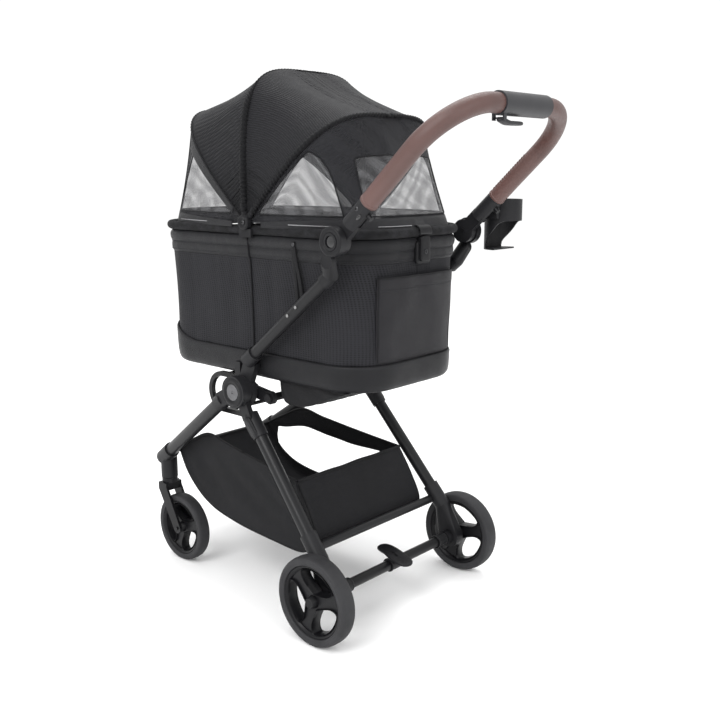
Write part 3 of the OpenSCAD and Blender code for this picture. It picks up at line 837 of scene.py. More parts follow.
def carrier_skirt():
    """Leatherette base: upright wall with a rounded lower edge, and the floor under it."""
    edge = [(1.0, 0.4), (0.95, 1.8), (0.85, 1.4), (0.6, 1.9), (0.3, 1.2), (0.14, 0.0), (0.05, -2.8),
            (0.01, -7.0), (0.0, -13)]
    rows = []
    for share, out in edge:
        row = []
        for k in range(LOOP_POINTS):
            z = lerp(BODY_LOW, skirt_top(k), share)
            crease = 1.1 * noise.noise(Vector((LOOP[k][0] / 35, LOOP[k][1] / 35, z / 25)))
            row.append(bag_point(k, z, out + crease - 1.2 * seam_pull(k)))
        rows.append(row)
    middle_y = (RIM_FRONT + RIM_REAR) / 2
    for share in (0.75, 0.5, 0.25, 0.05):
        rows.append([at(px * share * 0.9, middle_y + (py - middle_y) * share * 0.93, BODY_LOW + 0.6)
                     for px, py, _ in LOOP])
    skirt = thick(grid("carrier_base_skirt", rows, M["base_leatherette"], closed=True), 3)
    put_on(skirt, "carrier")
    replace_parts(skirt, "carrier_base")
    for name, height, out, r in (("top", skirt_top, 1.4, 1.7), ("foot", skirt_foot, -1.6, 2.2)):
        path = [bag_point(k, height(k), out) for k in range(LOOP_POINTS)]
        piping = tube(f"carrier_base_piping_{name}", path, r, LOOKS["piping"], closed=True, around=8)
        put_on(piping, "carrier")
    path = [bag_point(k, skirt_top(k) - 7, 1.9) for k in range(LOOP_POINTS)]
    thread = stitches("carrier_base_stitches", path, LOOKS["thread"], 4, 2.2, 0.4, closed=True)
    put_on(thread, "carrier")


def carrier_rim():
    """Covered tube with coarse crossed cords that stand up from it."""
    cords = 7
    loop = plan_loop(0, 900)
    path = [at(px, py, RIM_Z) for px, py, _ in loop]

    def cord(i, a):
        lay = i * 0.16
        one = abs(math.sin((a * cords + lay * cords) / 2))
        two = abs(math.sin((a * cords - lay * cords) / 2))
        return 1.15 * max(one, two) ** 0.7 - 1.0

    cover = tube("carrier_rim_cover", path, 9, M["rim_webbing"], closed=True, around=42, shape=cord)
    put_on(cover, "carrier")
    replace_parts(cover, "carrier_rim")


SWELL_CAP = 0.006   # how far the simulation may move a point of the cushion, in metres
QUILT = 0.058       # distance between the cushion's seams, in metres


def carrier_cushion():
    """Floor mat, swollen by pressure so that its sides pull in between the seams."""
    lo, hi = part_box("carrier_cushion")
    base = frame["nodes"]["carrier_cushion"].data.copy()
    pad = bpy.data.objects.new("carrier_floor_cushion", base)
    bpy.context.collection.objects.link(pad)
    centre = (lo + hi) / 2
    base.materials.clear()
    base.materials.append(M["cushion_cloth"])
    smaller = Matrix.Diagonal((0.975, 0.985, 0.72, 1))
    base.transform(Matrix.Translation(centre) @ smaller @ Matrix.Translation(-centre))
    modify(pad, "REMESH", mode="VOXEL", voxel_size=0.006)
    scene = bpy.context.scene
    cloth = pad.modifiers.new("cloth", "CLOTH")
    cloth.settings.use_pressure = True
    cloth.settings.uniform_pressure_force = 4
    cloth.settings.effector_weights.gravity = 0
    cloth.settings.quality = 4
    cloth.collision_settings.use_self_collision = False
    rest = [v.co.copy() for v in base.vertices]
    for step in range(1, 15):
        scene.frame_set(step)
    shaped = pad.evaluated_get(bpy.context.evaluated_depsgraph_get()).to_mesh()
    moved = [v.co.copy() for v in shaped.vertices]
    pad.modifiers.remove(cloth)
    scene.frame_set(1)
    for v, a, b in zip(pad.data.vertices, rest, moved):
        way = b - a
        v.co = a + way * min(1.0, SWELL_CAP / max(way.length, 1e-9))
    for v in pad.data.vertices:
        v.co.x = min(hi.x, max(lo.x, v.co.x))
        v.co.y = min(hi.y, max(lo.y, v.co.y))
        v.co.z = min(hi.z + 0.004, max(lo.z, v.co.z))
        across = abs(math.sin((v.co.x - centre.x) / QUILT * math.pi))
        along = abs(math.sin((v.co.y - centre.y) / QUILT * math.pi))
        if v.co.z > centre.z:
            v.co.z -= 0.004 * (1 - (across * along) ** 0.4)
    modify(pad, "SUBSURF", levels=1, render_levels=1)
    for polygon in pad.data.polygons:
        polygon.use_smooth = True
    put_on(pad, "carrier")
    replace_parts(pad, "carrier_cushion")


POCKET_HALF = 112
POCKET_LOW = 533
POCKET_TOP = 695


def rear_pocket():
    """Flat pocket on the rear wall with pleated sides and a folded top edge."""
    reach = POCKET_HALF / 1000
    chosen = [k for k in range(-60, 61)
              if abs(bag_point(k, 620).x - CENTRE_X) <= reach and bag_point(k, 620).y > at(0, 480, 0).y]
    first, last = min(chosen), max(chosen)
    steps = 90
    levels = 40
    rows = []
    for i in range(levels + 1):
        z = lerp(POCKET_LOW, POCKET_TOP, i / levels)
        row = []
        for j in range(steps + 1):
            share = j / steps
            k = lerp(first, last, share)
            low = math.floor(k)
            p = bag_point(low, z, 0).lerp(bag_point(low + 1, z, 0), k - low)
            n = LOOP[low % LOOP_POINTS][2].lerp(LOOP[(low + 1) % LOOP_POINTS][2], k - low).normalized()
            edge = min(share, 1 - share)
            border = min(1.0, edge / 0.02) * min(1.0, i / 2)
            height = i / levels
            sag = 3.4 * math.sin(math.pi * share) * smooth(height)
            pull = 1.5 * math.sin(share * 19 + height * 2) * smooth(height * 1.2)
            pull *= 0.4 + 0.6 * math.sin(math.pi * share)
            slack = 1.8 * noise.noise(Vector((share * 5, z / 50, 2)))
            hem = 1.0 * smooth((height - 0.855) / 0.01)
            out = 0.8 + border * (2.2 + sag + 0.6 * pull + slack + hem)
            row.append(p + Vector((n.x, n.y, 0)) * (out / 1000))
        rows.append(row)
    pocket = thick(grid("rear_pocket_cloth", rows, M["pocket_cloth"]), 1.2)
    put_on(pocket, "carrier")
    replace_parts(pocket, "rear_pocket")
    outward = Vector((0, 0.0009, 0))
    hem = tube("rear_pocket_hem", [p + outward for p in rows[-1]], 1.4, LOOKS["piping"], around=8)
    thread = stitches("rear_pocket_hem_stitches", [p + outward for p in rows[-7]], LOOKS["thread"])
    trim = [put_on(hem, "carrier"), put_on(thread, "carrier")]
    for name, j in (("left", 1), ("right", steps - 1)):
        path = [row[j] + Vector((0, 0.0006, 0)) for row in rows[1:]]
        seam = tube(f"rear_pocket_seam_{name}", path, 1.0, LOOKS["piping"], around=6)
        trim.append(put_on(seam, "carrier"))


def webbing(name, path, width, mat, across, mm=1.6):
    """A flat strap along a path; across is its width direction."""
    ways, _ = frames_along(path, False)
    rows = []
    for p, way in zip(path, ways):
        over = (across - way * across.dot(way)).normalized()
        rows.append([p + over * (width / 1000 * (j / 4 - 0.5)) for j in range(5)])
    return thick(grid(name, rows, mat), mm, 0)


def carrier_fittings():
    """Strap loops behind the pivots, the rear clip and the canopy hinge screws; returns the straps."""
    straps = []
    run = [(757, 6.2, 0), (740, 7.8, 0.2), (715, 7.4, 0.5), (690, 5.6, 0.8), (664, 4.4, 1.0), (646, 3.8, 1.1)]
    for side, s in SIDES:
        k = loop_index(s * RIM_HALF, 412)
        for part, shift_low in (("front", 2), ("rear", 15)):
            path = [bag_point(k, z, out) + Vector((0, (share * shift_low - 4) / 1000, 0))
                    for z, out, share in run]
            strap = webbing(f"carrier_strap_{part}_{side}", smooth_path(path, 4), 8, LOOKS["piping"],
                            Vector((0, 1, 0)))
            straps.append(put_on(strap, "carrier"))
        head = bag_point(k, 753, 8.4) + Vector((0, -0.003, 0))
        dome = [(-1, 0), (-1, 4.2), (0.6, 4.2), (1.6, 3.2), (2.2, 1.6), (2.3, 0)]
        rivet = lathe(f"carrier_strap_rivet_{side}", dome, head, Vector((s, 0, 0)), LOOKS["screw"], 24)
        put_on(rivet, "carrier")
        hinge = at(s * 189.4, 280, 790)
        dial = [(-1, 0), (-1, 13.5), (0.4, 13.5), (1.3, 12.2), (1.0, 9.5), (0.1, 8.6), (0.1, 0)]
        dish = lathe(f"canopy_hinge_dial_{side}", dial, hinge, Vector((s, 0, 0)), M["frame_plastic"], 48)
        put_on(dish, "carrier")
        put_on(screw(f"canopy_hinge_screw_{side}", hinge, Vector((s, 0, 0)), 4.2), "carrier")
    wall = bag_point(0, 735, 6)
    for name, x0, x1, z0, z1, y in (("plate", -21, 21, 716, 758, 3.5), ("tongue", -14, 14, 720, 768, 8.5)):
        clip = rounded_plate(f"rear_clip_{name}", x0, x1, z0, z1, wall.y, y)
        put_on(clip, "carrier")
    rows = []
    over_rim = 11.2
    for i in range(13):
        a = math.radians(-20 + i * 13)
        rows.append([at(x, RIM_REAR + over_rim * math.cos(a), RIM_Z + over_rim * math.sin(a))
                     for x in (-17, -15, 0, 15, 17)])
    put_on(thick(grid("rear_clip_hook", rows, M["frame_plastic"]), 2.4), "carrier")
    eyelet = [(-0.5, 4.2), (0.6, 4.6), (1.2, 3.8), (0.6, 2.8), (-1.2, 2.6), (-1.2, 0)]
    spot = Vector((CENTRE_X, wall.y + 0.0087, at(0, 0, 738).z))
    hole = lathe("rear_clip_eyelet", eyelet, spot, Vector((0, 1, 0)), LOOKS["screw"], 24)
    put_on(hole, "carrier")
    return straps


def rounded_plate(name, x0, x1, z0, z1, y_base, depth, corner=6):
    """A moulded plate on the rear wall with round corners and soft edges."""
    outline = []
    for cx, cz, turn in ((x1 - corner, z1 - corner, 0), (x0 + corner, z1 - corner, 90),
                         (x0 + corner, z0 + corner, 180), (x1 - corner, z0 + corner, 270)):
        for k in range(7):
            a = math.radians(turn + 15 * k)
            outline.append((cx + corner * math.cos(a), cz + corner * math.sin(a)))
    mid_x, mid_z = (x0 + x1) / 2, (z0 + z1) / 2
    rows = []
    for y, shrink in ((-3, 0), (depth - 1.4, 0), (depth - 0.4, 0.5), (depth, 1.6), (depth, 12), (depth, 40)):
        row = []
        for px, pz in outline:
            keep = max(0.02, 1 - shrink / max(abs(x1 - x0), abs(z1 - z0)) * 2)
            q = at(mid_x + (px - mid_x) * keep, 0, mid_z + (pz - mid_z) * keep)
            row.append(Vector((q.x, y_base + y / 1000, q.z)))
        rows.append(row)
    return grid(name, rows, M["frame_plastic"], closed=True)


def screw(name, spot, axis, r):
    """A button-head screw with a six-sided socket."""
    head = [(-0.5, r), (0.5, r), (1.3, r * 0.82), (1.7, r * 0.55), (1.7, r * 0.5)]
    obj = lathe(name, head, spot, axis, LOOKS["screw"], 24)
    bore = [(1.7, r * 0.5), (0.4, r * 0.46), (0.4, 0)]
    socket = lathe(name + "_socket", bore, spot, axis, LOOKS["screw"], 6)
    return merge(name, [obj, socket], LOOKS["screw"])


carrier_bag()
carrier_skirt()
carrier_rim()
carrier_cushion()
rear_pocket()


# ---------------------------------------------------------------- canopy

HINGE_Y = 280
HINGE_Z = 790
RISE = 306
HALF = 181.5
# each arch: half-width, reach, squareness and lean, as in part.scad
FRONT_HEM = (177.5, 322, 0.6, -92.5)
FRONT_ARCH = (HALF, RISE + 35, 0.65, -48)
MID_ARCH = (HALF, RISE - 11, 0.5, -1)
REAR_ARCH = (HALF, RISE - 15, 0.53, 46.5)
REAR_HEM = (177.5, 293, 0.6, 92.5)


def arch_point(arch, a, out=0.0):
    """A point of an arch at angle a (0 at the left hinge, pi at the right), pushed out by mm."""
    half, reach, square, lean = arch
    x = (half + out) * math.copysign(abs(math.cos(a)) ** square, math.cos(a))
    up = (reach + out) * abs(math.sin(a)) ** square
    lean = math.radians(lean)
    return at(x, HINGE_Y + up * math.sin(lean), HINGE_Z + up * math.cos(lean))


def even_angles(count, a0=0.0, a1=math.pi):
    """Angles that space points evenly along an arch."""
    fine = [lerp(a0, a1, i / 600) for i in range(601)]
    pts = [arch_point(MID_ARCH, a) for a in fine]
    total = [0.0]
    for p, q in zip(pts, pts[1:]):
        total.append(total[-1] + (q - p).length)
    out = []
    k = 0
    for i in range(count + 1):
        want = total[-1] * i / count
        while k < 600 and total[k + 1] < want:
            k += 1
        out.append(fine[min(k + (1 if i else 0), 600)])
    return out


def cloth_point(low, high, a, t, sag=0.0, lift=0.0):
    """A point of the cloth between two arches: a straight pull, sagging inwards by mm between them."""
    p = arch_point(low, a).lerp(arch_point(high, a), t)
    heart = at(0, HINGE_Y, HINGE_Z + 60)
    inward = Vector(((heart.x - p.x) * 0.55, heart.y - p.y, heart.z - p.z)).normalized()
    up = abs(math.sin(a)) ** 0.5
    return p + inward * ((sag * 4 * t * (1 - t) * up - lift) / 1000)


def roof(name, low, high, node):
    """One curved roof panel with gathered ribs on its flanks."""
    angles = even_angles(560)
    steps = 26
    rib, seed = (1.3, 3) if low is FRONT_ARCH else (0.3, 8)
    rows = []
    for i in range(steps + 1):
        t = i / steps
        row = []
        for a in angles:
            on_flank = 1 - smooth((abs(math.sin(a)) - 0.6) / 0.3)
            height = abs(math.sin(a)) ** 0.5
            ribs = math.sin(height * 235) * rib * on_flank * smooth(min(t, 1 - t) * 9)
            drape = 2.2 * noise.noise(Vector((math.cos(a) * 4, math.sin(a) * 4, t * 2.2 + seed)))
            row.append(cloth_point(low, high, a, t, 9 + drape * 2, ribs + drape * 0.3))
        rows.append(row)
    panel = thick(grid(name, rows, M["canopy_cloth"]), 1.4)
    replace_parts(panel, node)
    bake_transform(panel)
    return panel


WINDOW_LOW = 806
SAG = 5


def height_share(hem, arch, a, z):
    """How far up the panel, from hem to bow, the cloth reaches height z at angle a."""
    low, high = 0.0, 1.0
    for _ in range(18):
        middle = (low + high) / 2
        if cloth_point(hem, arch, a, middle, SAG).z * 1000 < z:
            low = middle
        else:
            high = middle
    return high


def beside_bow(hem, arch, a, margin):
    """How far up a panel a line runs that keeps a margin in mm from the bow."""
    return 1 - margin / 1000 / (arch_point(arch, a) - arch_point(hem, a)).length


def window(hem, arch, first, last, top, columns=60):
    """A window as columns (a, low, high), between two angles in degrees and under the line top(degrees)."""
    out = []
    for j in range(columns + 1):
        degree = lerp(first, last, j / columns)
        a = math.radians(degree)
        low = height_share(hem, arch, a, WINDOW_LOW)
        high = top(degree)
        if high > low + 0.01:
            out.append((a, low, high))
    return out


def mirrored(columns):
    """The same window on the other flank."""
    return [(math.pi - a, low, high) for a, low, high in reversed(columns)]


def net_patch(name, hem, arch, columns):
    """The net that fills a window, a little inside the cloth."""
    rows = [[cloth_point(hem, arch, a, lerp(low, high, i / 24), SAG, -0.5) for a, low, high in columns]
            for i in range(25)]
    return grid(name, rows, M["canopy_mesh"])


def window_outline(hem, arch, columns):
    """The closed line round a window, on the cloth."""
    line = [(a, low) for a, low, _ in columns]
    a, low, high = columns[-1]
    line += [(a, lerp(low, high, i / 16)) for i in range(1, 16)]
    line += [(a, high) for a, _, high in reversed(columns)]
    a, low, high = columns[0]
    line += [(a, lerp(high, low, i / 16)) for i in range(1, 16)]
    spots = [cloth_point(hem, arch, a, t, SAG, 0.5) for a, t in line]
    kept = [spots[0]]
    for spot in spots[1:]:
        if (spot - kept[-1]).length > 0.0025 and (spot - spots[0]).length > 0.0015:
            kept.append(spot)
    return kept


def end_panel(name, hem, arch, node, body, windows):
    """Cloth from a bow down to the hem, cut out round its net windows; returns it and the pieces on it."""
    angles = even_angles(400)
    steps = 110
    rows = [[cloth_point(hem, arch, a, i / steps, SAG, 0) for a in angles] for i in range(steps + 1)]

    def inside(i, j):
        t = (i + 0.5) / steps
        a = (angles[j] + angles[j + 1]) / 2
        for columns in windows:
            if columns[0][0] < a < columns[-1][0]:
                spot = (a - columns[0][0]) / (columns[-1][0] - columns[0][0]) * (len(columns) - 1)
                k = min(int(spot), len(columns) - 2)
                low = lerp(columns[k][1], columns[k + 1][1], spot - k)
                high = lerp(columns[k][2], columns[k + 1][2], spot - k)
                if low < t < high:
                    return True
        return False

    cloth = grid(name + "_cloth", rows, LOOKS["sheer"], skip=inside)
    put_on(cloth, body)
    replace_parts(cloth, node)
    trim = []
    for k, columns in enumerate(windows):
        trim.append(put_on(net_patch(f"{name}_net_{k}", hem, arch, columns), body))
        line = window_outline(hem, arch, columns)
        binding = tube(f"{name}_binding_{k}", line, 1.3, LOOKS["piping"], closed=True, around=6)
        trim.append(put_on(binding, body))
    return cloth, trim


def flank(a):
    """How much a place on an arch is on the stroller's side: 1 low at a hinge, 0 on top."""
    return 1 - smooth((abs(math.sin(a)) ** 0.5 - 0.72) / 0.22)


def bow_piping(name, arch, body, low_r, top_r):
    """A twisted cord band over a bow, thick on the flanks and fading on top."""
    angles = even_angles(700)
    line = [arch_point(arch, a, 0.8 + 1.2 * flank(a)) for a in angles]

    def twist(i, around):
        grow = lerp(top_r, low_r, flank(angles[i])) - top_r
        return grow + 0.2 * (grow + top_r) * math.sin(2 * around + i * 0.9)

    cord = tube(f"canopy_piping_{name}", line, top_r, LOOKS["piping"], around=14, shape=twist)
    return put_on(cord, body)


def edge_strip(name, hem, arch, body, a0, a1, t0, t1, mat, lift=0.9):
    """A strip of opaque cloth sewn over an end panel between two angles."""
    rows = [[cloth_point(hem, arch, math.radians(lerp(a0, a1, j / 12)), t, 5, lift) for j in range(13)]
            for t in [lerp(t0, t1, i / 40) for i in range(41)]]
    return put_on(thick(grid(name, rows, mat), 1.0), body)


def front_side_top(degree):
    """The upper line of the front flap's side windows."""
    a = math.radians(degree)
    corner = lerp(0.84, 0.08, (degree - 35) / 17) if degree > 35 else 1
    return min(beside_bow(FRONT_HEM, FRONT_ARCH, a, 15 + 15 * degree / 35), corner)


def front_nose_top(degree):
    return 0.88 - 0.3 * smooth((abs(degree - 90) - 24) / 6)


def rear_side_top(degree):
    """The upper line of the rear flap's side windows, rounded at their rear corner."""
    corner = 0.5 + 0.42 * math.sqrt(max(0, (45 - degree) / 12)) if degree > 33 else 1
    return min(beside_bow(REAR_HEM, REAR_ARCH, math.radians(degree), 13), corner)


def rear_tail_top(degree):
    return 0.66 - 0.35 * smooth((abs(degree - 90) - 25) / 3)


def hem_trim(name, hem, arch, body):
    """The opaque band along a flap's foot and the zip sewn on it."""
    angles = even_angles(160, math.radians(2), math.radians(178))
    rows = [[cloth_point(hem, arch, a, t, SAG, 1.2) for a in angles] for t in (0.0, 0.03, 0.06, 0.09, 0.12)]
    foot = at(0, 0, 780).z
    rows.insert(0, [Vector((p.x, p.y, min(p.z, foot))) for p in rows[0]])
    band = thick(grid(f"canopy_hem_band_{name}", rows, LOOKS["band"]), 1.2)
    trim = [put_on(band, body)]
    for part, a0, a1 in (("side", 12, 38), ("end", 66, 88), ("far_side", 142, 168)):
        angles = even_angles(60, math.radians(a0), math.radians(a1))
        line = [cloth_point(hem, arch, a, 0.05, SAG, 2.6) for a in angles]
        tape = stitches(f"canopy_zip_{name}_{part}", line, LOOKS["zip"], 2.2, 0.9, 0.9)
        trim.append(put_on(tape, body))
    return trim


def canopy():
    ahead = roof("canopy_roof_ahead", FRONT_ARCH, MID_ARCH, "canopy_roof_front")
    behind = roof("canopy_roof_behind", MID_ARCH, REAR_ARCH, "canopy_roof_rear")
    side = window(FRONT_HEM, FRONT_ARCH, 2.5, 52, front_side_top)
    nose = window(FRONT_HEM, FRONT_ARCH, 60, 120, front_nose_top)
    front_flap, front_trim = end_panel("canopy_front_flap", FRONT_HEM, FRONT_ARCH, "canopy_front_panel",
                                       "canopy_front", [side, nose, mirrored(side)])
    side = window(REAR_HEM, REAR_ARCH, 2, 45, rear_side_top)
    tail = window(REAR_HEM, REAR_ARCH, 62, 118, rear_tail_top)
    rear_flap, rear_trim = end_panel("canopy_rear_flap", REAR_HEM, REAR_ARCH, "canopy_rear_panel",
                                     "canopy_rear", [side, tail, mirrored(side)])
    for half, a0, a1 in (("left", 51, 59), ("right", 129, 121)):
        front_trim.append(edge_strip(f"canopy_front_corner_{half}", FRONT_HEM, FRONT_ARCH, "canopy_front",
                                     a0, a1, 0.02, 0.97, LOOKS["band"]))

    front_cord = bow_piping("front", FRONT_ARCH, "canopy_front", 2.2, 2.2)
    middle_cord = bow_piping("middle", MID_ARCH, "carrier", 6.8, 1.6)
    rear_cord = bow_piping("rear", REAR_ARCH, "canopy_rear", 5.4, 3.8)
    front_trim += hem_trim("front", FRONT_HEM, FRONT_ARCH, "canopy_front")
    rear_trim += hem_trim("rear", REAR_HEM, REAR_ARCH, "canopy_rear")
    front_trim += side_tapes()


def side_tapes():
    """Smooth blank tape sewn along the front bow's lower side on both flanks."""
    tapes = []
    for half, first in (("left", 0), ("right", math.pi)):
        rows = []
        for i in range(5):
            row = []
            for j in range(61):
                degree = lerp(2.5, 42, j / 60)
                a = math.radians(degree)
                edge = beside_bow(FRONT_HEM, FRONT_ARCH, a, 15 + 15 * degree / 35)
                t = lerp(edge, 1.0, i / 4)
                row.append(cloth_point(FRONT_HEM, FRONT_ARCH, abs(first - a), t, SAG, 1.4))
            rows.append(row)
        tape = thick(grid(f"canopy_side_tape_{half}", rows, LOOKS["band"]), 1.0)
        tapes.append(put_on(tape, "canopy_front"))
    return tapes


canopy()


# ---------------------------------------------------------------- basket and sling

KEEL = [(-24, 262), (6, 212), (52, 172), (104, 149), (170, 137), (250, 131), (330, 129), (398, 131),
        (430, 148), (447, 172), (424, 224), (390, 279)]
TOP_EDGE = [(-24, 262), (30, 290), (96, 318), (160, 308), (240, 297), (320, 287), (390, 279)]


def basket_half(y):
    """Half-width of the basket at a distance behind the front axle."""
    return lerp(138, 164, (y + 40) / 500)


# the right wall's opening, as shares of its height and of its length
HOLE_LOW = 0.14
HOLE_HIGH = 0.78
HOLE_NOSE = 0.10
HOLE_TAIL = 0.80
WALL_LEVELS = 22


def hang_basket_piece(piece):
    """Bakes a basket piece's placement into its mesh; the cloth runs from the front legs to the rear ones along
    its floor.
    """
    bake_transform(piece)


def basket():
    """One slung cloth: floor, nose and tail as a long belly, and two side walls; the right one is open."""
    belly = smooth_path([Vector((0, y, z)) for y, z in KEEL], 8)
    edge_line = smooth_path([Vector((0, y, z)) for y, z in TOP_EDGE], 14)
    columns = 28
    rows = []
    for i, p in enumerate(belly):
        share = i / (len(belly) - 1)
        half = basket_half(p.y)
        row = []
        for j in range(columns + 1):
            u = j / columns * 2 - 1
            sag = 5 * (1 - u * u) * math.sin(math.pi * share)
            fold = 1.5 * noise.noise(Vector((u * 3, share * 9, 1)))
            if p.y > 400:
                sag *= 0.6
            row.append(at(half * u * (1 - 0.015 * (1 - abs(u))), p.y, p.z - sag + fold))
        rows.append(row)
    floor_part = grid("basket_belly", rows, M["basket_cloth"])
    spans = len(belly) - 1

    def hole(i, j):
        v = (i + 0.5) / WALL_LEVELS
        share = (j + 0.5) / spans
        return HOLE_LOW < v < HOLE_HIGH and HOLE_NOSE < share < HOLE_TAIL

    sides = []
    walls = {}
    for side, s in SIDES:
        wall = []
        for i in range(WALL_LEVELS + 1):
            v = i / WALL_LEVELS
            row = []
            for j, p in enumerate(belly):
                share = j / (len(belly) - 1)
                q = edge_line[round(share * (len(edge_line) - 1))]
                y = lerp(p.y, q.y, v)
                z = lerp(p.z, q.z, v)
                bulge = 6 * math.sin(math.pi * v) * math.sin(math.pi * share)
                crease = 4.5 * noise.noise(Vector((share * 6, v * 3, 4 + s))) * math.sin(math.pi * v)
                slack = 2.2 * math.sin(share * 30 + v * 6) * math.sin(math.pi * v) ** 2 * smooth(v * 1.5)
                row.append(at(s * (basket_half(y) - bulge * 0.5 + crease + slack), y, z))
            wall.append(row)
        walls[side] = wall
        skip = hole if side == "right" else None
        sides.append(grid(f"basket_wall_{side}", wall, M["basket_cloth"], skip=skip))
    cloth = merge_cloth("basket_cloth_bag", [floor_part] + sides, M["basket_cloth"])
    modify(cloth, "WELD", merge_threshold=0.002)
    thick(cloth, 1.6, 0)
    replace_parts(cloth, "basket")
    hang_basket_piece(cloth)
    trim = []
    for side, wall in walls.items():
        trim.append(tube(f"basket_edge_{side}", wall[-1], 3.0, LOOKS["piping"], around=8))
    wall = walls["right"]
    j0, j1 = round(HOLE_NOSE * spans), round(HOLE_TAIL * spans)
    i0, i1 = round(HOLE_LOW * WALL_LEVELS), round(HOLE_HIGH * WALL_LEVELS)
    ring = [wall[i0][j] for j in range(j0, j1)] + [wall[i][j1] for i in range(i0, i1)]
    ring += [wall[i1][j] for j in range(j1, j0, -1)] + [wall[i][j0] for i in range(i1, i0, -1)]
    trim.append(tube("basket_opening_edge", ring, 2.6, LOOKS["piping"], closed=True, around=8))
    for name, line, mm in (("rear_top", rows[-1], 3.4), ("front_top", rows[0], 3.0),
                           ("rear_low", rows[-25], 1.6)):
        trim.append(tube(f"basket_{name}_binding", line, mm, LOOKS["piping"], around=8))
    for binding in trim:
        hang_basket_piece(binding)


def merge_cloth(name, parts, mat):
    """Joins cloth grids into one mesh and keeps their unrolled coordinates."""
    verts = []
    faces = []
    uvs = []
    for part in parts:
        base = len(verts)
        own = {}
        layer = part.data.uv_layers[0]
        for loop in part.data.loops:
            own[loop.vertex_index] = tuple(layer.data[loop.index].uv)
        verts += [v.co.copy() for v in part.data.vertices]
        uvs += [own.get(v.index, (0, 0)) for v in part.data.vertices]
        faces += [tuple(base + i for i in p.vertices) for p in part.data.polygons]
        bpy.data.objects.remove(part)
    return mesh(name, verts, faces, mat, uvs)


def sling():
    """Gathered pouch under the carrier, deepest at its front and rising to the rear."""
    outline = [(335, 476), (335, 450), (340, 434), (354, 427), (400, 431), (440, 445), (480, 460), (516, 474)]
    spine = smooth_path([Vector((0, y, z)) for y, z in outline], 7)
    columns = 170
    rise = 12
    rows = []
    for i, p in enumerate(spine):
        share = i / (len(spine) - 1)
        row = []
        for j in range(-rise, columns + rise + 1):
            x = lerp(-146, 146, min(1.0, max(0.0, j / columns)))
            climb = max(0, -j, j - columns) / rise
            wave = math.sin(x / 4.6 + 1.4 * noise.noise(Vector((x / 30, share * 2, 0))))
            gather = wave * 2.4 * math.sin(math.pi * min(1, share * 1.3)) ** 0.6 * (1 - climb)
            pleat = 1.6 * math.sin(share * 30 + climb * 5) * math.sin(math.pi * min(1.0, climb * 0.98))
            z = lerp(p.z + 3 * (x / 146) ** 4, 477, climb)
            if climb > 0:
                x += math.copysign(1.5 + pleat, x)
            row.append(at(x, p.y + gather * 0.5, min(477, z + gather)))
        rows.append(row)
    pouch = thick(grid("under_sling_cloth", rows, M["sling_cloth"]), 1.2, 0)
    put_on(pouch, "upper_frame")
    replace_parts(pouch, "under_sling")
    line = [p + Vector((0, -0.001, 0)) for p in rows[0]]
    binding = tube("under_sling_binding", line[::3], 3.2, LOOKS["piping"], around=8)
    put_on(binding, "upper_frame")


basket()
sling()


# ---------------------------------------------------------------- pedal and lever

def rounded_slab(name, outline, levels, mat):
    """Lofts an outline of Vectors through (shrink, offset) levels; offset is a Vector, shrink in metres."""
    centre = sum(outline, Vector()) / len(outline)
    rows = []
    for shrink, offset in levels:
        row = []
        for p in outline:
            share = min(0.98, shrink / max(1e-6, (p - centre).length))
            row.append(p.lerp(centre, share) + offset)
        rows.append(row)
    return grid(name, rows, mat, closed=True)


BRAKE_Y = 511
BRAKE_Z = 89


def brake_pedal():
    """Two-lobed foot plate on a sleeve round the brake bar."""
    corners = [(-24, -33), (-20, -45), (-8, -50), (4, -46), (10, -36), (14, -20), (20, -6), (25.5, 10),
               (27, 28), (22, 43), (8, 48.5), (-5, 43), (-12, 31), (-16, 16), (-20, 0), (-23, -16)]
    line = smooth_path([Vector((x, y, 0)) for x, y in corners], 5, closed=True)
    tilt = math.radians(-6)
    outline = []
    for p in line:
        crown = 13.2 + 2.2 * math.cos(p.y / 34)
        outline.append(at(p.x, BRAKE_Y + p.y * math.cos(tilt) - crown * math.sin(tilt),
                          BRAKE_Z + p.y * math.sin(tilt) + crown * math.cos(tilt)))
    up = Vector((0, -math.sin(tilt), math.cos(tilt))) / 1000
    levels = [(shrink, up * lift) for shrink, lift in
              ((0.04, 0.4), (0.012, 0.2), (0.0012, 0.2), (0, 1.4), (0, 3.6), (0.0012, 4.9), (0.004, 5.3),
               (0.012, 5.0), (0.04, 4.4))]
    plate = rounded_slab("brake_pedal_plate", outline, levels, M["frame_plastic"])
    across = Vector((1, 0, 0))
    profile = [(-21, 10.8), (-21, 13.4), (-20, 14.2), (-17, 14.2), (-16, 13.4), (16, 13.4), (17, 14.2),
               (20, 14.2), (21, 13.4), (21, 10.8)]
    sleeve = lathe("brake_pedal_sleeve", profile, at(0, BRAKE_Y, BRAKE_Z), across, M["frame_plastic"], 48)
    pedal = merge("brake_pedal_cover", [plate, sleeve], M["frame_plastic"])
    put_on(pedal, "brake")
    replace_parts(pedal, "brake_pedal")
    collar = [(-2, 13), (-2, 13.7), (-1.2, 14.1), (1.2, 14.1), (2, 13.7), (2, 13)]
    for end, s in SIDES:
        for name, x in (("inner", 141), ("outer", 165)):
            ring = lathe(f"brake_bar_ring_{name}_{end}", collar, at(s * x, BRAKE_Y, BRAKE_Z), across,
                         M["frame_plastic"], 40)
            put_on(ring, "brake")


